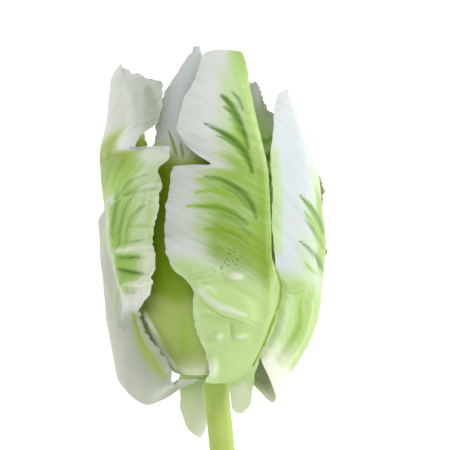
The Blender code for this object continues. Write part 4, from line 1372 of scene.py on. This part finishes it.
INNER_FRONT = Tepal(
    name="inner_tepal_front",
    slot=Slot.INNER,
    length=103.4,
    rib=((0, -30, -2), (0.08, -27, -2.3), (0.2, -24, -3), (0.3, -23, -3.2), (0.45, -23, -3.4),
         (0.6, -21, -3.4), (0.75, -18.5, -3), (0.87, -15.5, -2.2), (1, -13.5, -1.2)),
    left=((0, -70, 0, -2), (0.04, -64, 5, -2), (0.08, -55, 10, -1.8), (0.13, -48, 15, -1.8),
          (0.18, -49, 21, -2), (0.24, -50, 28, -2.2), (0.27, -51, 31, -2.6), (0.3, -57, 34, -3.6),
          (0.36, -62, 42, -3.9), (0.5, -62, 56, -4), (0.6, -58, 66, -3.8), (0.65, -48, 71, -3.2),
          (0.68, -41.5, 74, -3), (0.75, -41, 81, -3), (0.82, -40, 87, -2.8), (0.87, -37.5, 91, -2.4),
          (0.91, -33.5, 93.5, -2), (0.96, -23.5, 99, -1.6), (1, -15.5, 103.5, -1.2)),
    right=((0, 12, 0, -2), (0.08, 14, 9, -2.4), (0.2, 16, 24, -3.4), (0.35, 17, 40, -3.6),
           (0.5, 17, 56, -3.6), (0.65, 14, 72, -3.6), (0.8, 5, 86, -3), (0.9, -4, 95, -2.2),
           (0.97, -10, 101, -1.6), (1, -12, 103.5, -1.2)),
    wave=(0.4, 14.0, 0.1),
    fringe=((0.5, 2.4), (0.3, 3.0)),
    ruffle=(0.2, 5.0),
    vein_rise=1.8,
    washes=(
        # painted shade: the top greyed
        Wash(Tint.PAINTED_SHADE_GREY, 0.35, (0.66, 0.76, 1.2, 1.3)),
        Wash(Tint.OLIVE_AND_PAINTED_SHADE, 1.0, (0.02, 0.09, 0.66, 0.76)),
        Wash(Tint.PALE_AND_PAINTED_LIGHT, 0.6, (-1.0, -0.5, 0.09, 0.2)),
        # painted shade: deep green where it lies far down in the gap between the outer tepals
        Wash(Tint.DEEP_AND_PAINTED_SHADE, 0.9, (0.28, 0.36, 0.64, 0.72), (-2.0, -1.5, 2.0, 3.0)),
        Wash(Tint.GREEN, 0.35, (0.1, 0.2, 0.3, 0.4), (-0.3, 0.2, 2.0, 3.0)),
    ),
    strokes=(
        # painted shadow: dark green seen in the notch between the two lobes of the front tepal
        Stroke(Tint.DEEP_AND_PAINTED_SHADE, seen((169, 130), (173, 142), (177, 155)), (0.35, 0.6), 0.9),
        Stroke(Tint.DEEP_AND_PAINTED_SHADE, seen((181, 143), (184, 158)), (0.5, 0.5), 0.9),
        Stroke(Tint.GREEN, seen((182, 318), (184, 340), (182, 356)), (2.2, 1.6), 0.7),
        # the whitish frill of the left margin, lightened with painted light where the outer tepal beside
        # it shades it
        Stroke(Tint.PALE_AND_PAINTED_LIGHT, seen((143, 312), (150, 326), (161, 348), (176, 367)), (1.4, 1.2), 1.2),
        # painted shade at the foot of the gap between the outer tepals
        Stroke(Tint.DEEP_AND_PAINTED_SHADE, seen((152, 292), (158, 290)), (1.2, 1.2), 0.9),
    ),
    folds=(
        Fold(seen((143, 312), (150, 326), (161, 348), (176, 367)), 0.4, 0.8, 0.8),
        Fold(seen((178, 300), (180, 330), (182, 360)), -0.4, 3.0, 2.4),
        Fold(seen((200, 56), (196, 75), (188, 98), (182, 125)), -0.4, 1.0, 1.0),
    ),
    feathers=(Feathers(5, (0.1, 0.4), 7.0, 0.35, 41),),
)

INNER_BACK = Tepal(
    name="inner_tepal_back",
    slot=Slot.INNER,
    length=96.6,
    rib=((0, -150, -2), (0.1, -150, -2.4), (0.25, -147, -3), (0.4, -149, -3.7), (0.6, -152, -3.9),
         (0.75, -155, -3.8), (0.9, -159, -3.6), (1, -160, -3.2)),
    left=((0, -192, 0, -2), (0.1, -188, 11, -2.4), (0.3, -189, 32, -3.4), (0.5, -189, 52, -3.8),
          (0.7, -186, 71, -3.8), (0.85, -177, 85, -3.6), (0.95, -168, 93, -3.4), (1, -163, 96.8, -3.2)),
    right=((0, -108, 0, -2), (0.1, -112, 11, -2.4), (0.3, -110, 31, -3.2), (0.5, -110, 52, -3.8),
           (0.58, -116, 60, -3.8), (0.64, -134, 66, -3.6), (0.7, -139, 72, -3.6), (0.8, -142, 81, -3.6),
           (0.9, -148, 90, -3.4), (1, -156, 96.8, -3.2)),
    wave=(0.5, 15.0, 0.7),
    vein_rise=1.0,
    washes=(
        Wash(Tint.LIME, 0.8, (-1.0, -0.5, 0.25, 0.5)),
        Wash(Tint.LIME, 0.7, (0.05, 0.2, 0.8, 0.97), (-0.25, -0.05, 0.05, 0.25)),
        Wash(Tint.GREEN, 0.6, (0.1, 0.2, 0.5, 0.8), (-0.4, -0.1, 0.1, 0.4)),
    ),
    feathers=(
        Feathers(10, (0.1, 0.8), 13.0, 0.9, 51),
        Feathers(6, (0.2, 0.7), 8.0, 0.8, 53, Tint.FLAME_AND_PAINTED_SHADE),
    ),
)


@dataclass(frozen=True)
class Bloom:
    """The two whorls of tepals."""

    tepals: tuple[Tepal, ...] = (FRONT, LEFT, BACK, INNER_RIGHT, INNER_FRONT, INNER_BACK)

    def build(self) -> list[bpy.types.Object]:
        """Make and dress every tepal.

        Returns:
            The tepals.
        """
        finishes = {
            Slot.OUTER: TissueFinish("outer_tepal_tissue").build(),
            Slot.INNER: TissueFinish(
                "inner_tepal_tissue", linear(220, 227, 229), roughness=0.42
            ).build(),
        }
        made = []
        for tepal in self.tepals:
            item = tepal.build()
            tepal.dress(item, finishes)
            made.append(item)
        return made


@dataclass(frozen=True)
class Stalk:
    """The stalk, with the receptacle at its top and a clean cut at its lower end."""

    sides: int = 56
    rows: int = 240
    top: float = 5.0
    flutes: int = 7
    flute_depth: float = 0.05
    end_share: float = 0.016
    rounding: tuple = ((0.0, 0.0), (0.004, 0.5), (0.008, 0.86), (0.012, 0.985), (0.016, 1.0),
                       (0.99, 1.0), (0.9985, 1.0), (1.0, 0.0))
    swelling: tuple = ((-STALK_LENGTH, STALK_RADIUS), (-8.0, STALK_RADIUS), (-3.0, 3.65), (-0.6, 3.7),
                       (1.2, 3.5), (3.2, 3.25), (5.0, 3.05))

    def build(self) -> bpy.types.Object:
        """Make the stalk.

        Returns:
            The stalk, as it lies.
        """
        item = Bench.grid("stalk_skin", self.sides, self.rows)
        flat = Bench.corners(item)
        angle = math.pi * (flat[:, 0] + 1)
        share = (flat[:, 1] + 1) / 2
        rounding = smooth(self.rounding, share)
        height = -STALK_LENGTH + (self.top + STALK_LENGTH) * ramp_ends(share, self.end_share)
        flutes = 1 + self.flute_depth / STALK_RADIUS * np.cos(self.flutes * angle)
        radius = smooth(self.swelling, height) * rounding * flutes
        radius = radius - 0.06 - 0.04 * (1 + ripple(height / 9.0 + 0.5 * np.sin(angle), 3.0))
        radius = np.maximum(radius, 0.0) * (share > 0) * (share < 1)
        middle = smooth(tuple(reversed(STALK_LINE)), height)
        dip = 0.35 * ramp(1 - share, 1 - self.end_share, 1.0) * (1 - rounding)
        across = middle + radius * np.cos(angle)
        points = np.column_stack((across, height + dip, radius * np.sin(angle)))
        Bench.paint(item, "collar", ramp(height, -5.0, -0.5))
        Bench.paint(item, "cut", 1 - ramp(share, 0.0105, 0.0125))
        Bench.lay_pattern(item, np.column_stack((angle, height / 10)))
        Bench.shape(item, lay_down(points))
        Bench.close_tube()
        Bench.soften(item, 45)
        item.data.materials.append(StalkFinish().build())
        Bench.seat(item, "stem", Slot.STALK)
        return item


def ramp_ends(share: np.ndarray, end: float) -> np.ndarray:
    """Spread shares evenly, but for a flat cut over the first end of them."""
    return np.clip((share - end) / (1 - end), 0.0, 1.0)


@dataclass(frozen=True)
class Pistil:
    """The three-sided ovary under a stigma of three frilled lobes."""

    sides: int = 60
    rows: int = 90
    foot: float = 5.4
    length: float = 21.0
    stigma_reach: float = 4.0
    skin: tuple = linear(168, 196, 104)
    stigma: tuple = linear(232, 228, 176)

    def build(self) -> bpy.types.Object:
        """Make the pistil.

        Returns:
            The pistil, as it lies.
        """
        item = Bench.grid("pistil_body", self.sides, self.rows)
        flat = Bench.corners(item)
        angle = math.pi * (flat[:, 0] + 1)
        share = (flat[:, 1] + 1) / 2
        height = self.foot + (self.length + 1.6) * share
        rim = self.stigma_reach
        reach = smooth(((0.0, 0.0), (0.02, 2.0), (0.12, 2.65), (0.4, 2.95), (0.7, 2.6), (0.82, 1.95),
                        (0.88, 2.5), (0.94, rim), (0.985, rim - 0.4), (1.0, 0.0)), share)
        lobing = smooth(((0.0, 0.0), (0.15, 0.15), (0.7, 0.2), (0.85, 0.2), (0.93, 0.5), (1.0, 0.5)),
                        share)
        frill = 0.12 * ramp(share, 0.88, 0.94) * np.sin(15 * angle) * (1 - ramp(share, 0.97, 1.0))
        radius = reach * (1 - lobing * 0.5 * (1 - np.cos(3 * angle)) + frill)
        furrow = 0.8 * ramp(share, 0.9, 1.0) * (1 - np.cos(3 * angle)) * 0.5
        points = np.column_stack((radius * np.sin(angle), height - furrow, radius * np.cos(angle)))
        Bench.paint(item, "stigma", ramp(share, 0.84, 0.92))
        Bench.lay_pattern(item, np.column_stack((angle, height / 10)))
        Bench.shape(item, lay_down(points))
        Bench.close_tube()
        Bench.soften(item, 60)
        finish = TwoToneFinish("pistil_skin", self.skin, self.stigma, "stigma", 2200.0)
        item.data.materials.append(finish.build())
        Bench.seat(item, "pistil", Slot.PISTIL)
        return item


@dataclass(frozen=True)
class Stamens:
    """Six stamens on the thin ring that they grow from.

    foot, knee and tip are the distance from the axis and the height at which a stamen starts, passes
    from filament to anther, and ends.
    """

    count: int = 6
    sides: int = 20
    rows: int = 64
    filament_length: float = 11.0
    anther_length: float = 13.0
    filament_radius: float = 0.7
    anther_radius: float = 1.45
    ring_radius: float = 3.62
    ring_height: float = 5.95
    ring_wall: float = 0.5
    foot: Spot = (3.75, 5.9)
    knee: Spot = (6.2, 16.9)
    tip: Spot = (7.9, 29.6)
    filament: tuple = linear(226, 230, 184)
    pollen: tuple = linear(214, 190, 92)

    def build(self) -> bpy.types.Object:
        """Make the stamens and their ring.

        Returns:
            The stamens, as they lie.
        """
        parts = [self.ring()] + [self.stamen(30 + 360 * k / self.count) for k in range(self.count)]
        item = Bench.join(parts, "stamen_whorl")
        Bench.soften(item, 60)
        finish = TwoToneFinish("stamen_skin", self.filament, self.pollen, "pollen", 3200.0, 0.75)
        item.data.materials.append(finish.build())
        Bench.seat(item, "stamens", Slot.STAMENS)
        return item

    def ring(self) -> bpy.types.Object:
        """Make the ring at the stamens' feet.

        Returns:
            The ring, as it lies.
        """
        bpy.ops.object.select_all(action="DESELECT")
        bpy.ops.mesh.primitive_torus_add(
            major_segments=72, minor_segments=16, major_radius=self.ring_radius,
            minor_radius=self.ring_wall,
        )
        item = bpy.context.object
        flat = Bench.corners(item)
        angle = np.arctan2(flat[:, 1], flat[:, 0])
        reach = np.hypot(flat[:, 0], flat[:, 1])
        widening = 1.45 + 0.15 * np.cos(self.count * (angle - math.radians(60)))
        reach = self.ring_radius + (reach - self.ring_radius) * widening
        height = self.ring_height + flat[:, 2]
        points = np.column_stack((reach * np.sin(angle), height, reach * np.cos(angle)))
        Bench.paint(item, "pollen", np.zeros(len(points)))
        item.data.uv_layers[0].name = "Veins"
        Bench.shape(item, lay_down(points))
        Bench.close_tube()
        return item

    def stamen(self, azimuth: float) -> bpy.types.Object:
        """Make one stamen.

        Args:
            azimuth: where it stands round the pistil, in degrees.

        Returns:
            The stamen, as it lies.
        """
        item = Bench.grid("stamen", self.sides, self.rows)
        flat = Bench.corners(item)
        angle = math.pi * (flat[:, 0] + 1)
        share = (flat[:, 1] + 1) / 2
        split = self.filament_length / (self.filament_length + self.anther_length)
        foot, knee, tip = (np.array(point) for point in (self.foot, self.knee, self.tip))
        low = np.clip(share / split, 0.0, 1.0)[:, None]
        high = np.clip((share - split) / (1 - split), 0.0, 1.0)[:, None]
        line = foot + (knee - foot) * low + (tip - knee) * high
        thin, thick = self.filament_radius, self.anther_radius
        radius = smooth(((0.0, 0.0), (0.01, thin * 1.3), (split - 0.03, thin * 0.7), (split, 0.55),
                         (split + 0.06, thick), (0.75, thick), (0.95, thick * 0.75), (1.0, 0.0)), share)
        pollen = ramp(share, split - 0.01, split + 0.02)
        groove = 0.28 * np.exp(-(np.sin(angle) / 0.3) ** 2) + 0.1 * np.exp(-(np.cos(angle) / 0.25) ** 2)
        radius = radius * (1 - pollen * groove)
        turned = math.radians(azimuth)
        out = line[:, 0] + radius * np.cos(angle)
        around = radius * np.sin(angle) + 0.25 * np.sin(share * 5 + azimuth)
        points = np.column_stack((out * math.sin(turned) + around * math.cos(turned), line[:, 1],
                                  out * math.cos(turned) - around * math.sin(turned)))
        Bench.paint(item, "pollen", pollen)
        Bench.lay_pattern(item, np.column_stack((angle, share)))
        Bench.shape(item, lay_down(points))
        Bench.close_tube()
        return item


@dataclass(frozen=True)
class Studio:
    """A pale floor, soft lights and the camera, which looks straight at the flower's front.

    The sides of the lights say how far each stands to the right, to the front and up.
    """

    floor_size: float = 4.0
    floor_gap: float = 0.0002
    floor_glow: float = 0.6
    sky: float = 0.65
    key_power: float = 2.55
    key_size: float = 0.4
    fill_power: float = 0.9
    low_power: float = 0.9
    key_side: tuple = (0.9, 0.42, 0.25)
    fill_side: tuple = (-0.1, 0.9, 0.7)
    low_side: tuple = (0.1, 0.75, -0.8)
    sensor: float = 36.0
    picture_pixels: int = 450

    def build(self) -> None:
        """Set the stage."""
        self.floor()
        self.lights()
        self.camera()

    def floor(self) -> None:
        """Lay the floor just under the flower."""
        bpy.ops.object.select_all(action="DESELECT")
        bpy.ops.mesh.primitive_plane_add(size=self.floor_size, location=(0, 0, -self.floor_gap))
        item = bpy.context.object
        item.name = "floor"
        material = bpy.data.materials.new("pale_floor")
        material.use_nodes = True
        shader = material.node_tree.nodes["Principled BSDF"]
        shader.inputs["Base Color"].default_value = linear(248, 248, 248)
        shader.inputs["Roughness"].default_value = 0.8
        shader.inputs["Specular IOR Level"].default_value = 0.1
        shader.inputs["Emission Color"].default_value = (1.0, 1.0, 1.0, 1.0)
        shader.inputs["Emission Strength"].default_value = self.floor_glow
        item.data.materials.append(material)
        item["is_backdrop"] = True

    def axes(self) -> tuple[Vector, Vector, Vector]:
        """Find how the flower's own directions lie.

        Returns:
            The directions to its right, up to its tips and out of its front.
        """
        ends = lay_down(np.array(((0, 0, 0), (1, 0, 0), (0, 1, 0), (0, 0, 1)), dtype=float))
        right, up, front = (Vector(end - ends[0]).normalized() for end in ends[1:])
        return right, up, front

    def lights(self) -> None:
        """Light the flower softly, most from its right, with weak light from its tips and its stalk."""
        scene = bpy.context.scene
        world = bpy.data.worlds.new("studio")
        scene.world = world
        world.use_nodes = True
        sky = world.node_tree.nodes["Background"]
        sky.inputs["Color"].default_value = (1.0, 1.0, 1.0, 1.0)
        sky.inputs["Strength"].default_value = self.sky
        self.lamp("key_light", self.key_side, self.key_power)
        self.lamp("fill_light", self.fill_side, self.fill_power)
        self.lamp("low_light", self.low_side, self.low_power)
        scene.view_settings.view_transform = "Standard"

    def lamp(self, name: str, side: tuple[float, float, float], power: float) -> None:
        """Add one broad lamp, a metre away, that faces the flower.

        Args:
            name: the lamp's name.
            side: how far it stands to the right, to the front and up.
            power: its power in watts.
        """
        right, up, front = self.axes()
        direction = (right * side[0] + front * side[1] + up * side[2]).normalized()
        data = bpy.data.lights.new(name, "AREA")
        data.energy = power
        data.size = self.key_size
        item = bpy.data.objects.new(name, data)
        bpy.context.scene.collection.objects.link(item)
        item.location = self.aim() + direction
        item.rotation_euler = direction.to_track_quat("Z", "Y").to_euler()

    def aim(self) -> Vector:
        """Give the point that the middle of the picture shows."""
        return Vector(lay_down(np.array(((*VIEW_CENTRE, 0.0),)))[0])

    def camera(self) -> None:
        """Look at the flower's front, with its tips at the top of the picture."""
        right, up, front = self.axes()
        data = bpy.data.cameras.new("camera")
        item = bpy.data.objects.new("camera", data)
        bpy.context.scene.collection.objects.link(item)
        width = self.picture_pixels * PIXEL
        data.sensor_width = self.sensor
        data.lens = self.sensor * VIEW_DISTANCE / width
        data.clip_start = 0.01
        turned = Matrix((right, up, front)).transposed().to_4x4()
        turned.translation = self.aim() + front * VIEW_DISTANCE * MM
        item.matrix_world = turned
        bpy.context.scene.camera = item


def report(items: list[bpy.types.Object]) -> None:
    """Log each finished piece with its faces and its box.

    Args:
        items: the pieces.
    """
    for item in items:
        corners = Bench.corners(item)
        sides = " x ".join(f"{value / MM:.1f}" for value in corners.max(0) - corners.min(0))
        LOG.info("%s: %d faces, %s mm", item.name, len(item.data.polygons), sides)


def plain(box: object) -> list:
    """Turn a box into plain lists of numbers."""
    return [[float(value) for value in corner] for corner in box]


def main() -> None:
    """Dress the flower, set the stage and measure the sizes before and after."""
    logging.basicConfig(level=logging.INFO, format="%(message)s")
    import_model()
    solids = plain(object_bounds())
    makers: list[Callable[[], list[bpy.types.Object]]] = [
        Bloom().build,
        lambda: [Stalk().build()],
        lambda: [Pistil().build()],
        lambda: [Stamens().build()],
    ]
    for make in makers:
        report(make())
    Studio().build()
    {"cad": solids, "visual": plain(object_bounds())}


if __name__ == "__main__":
    main()
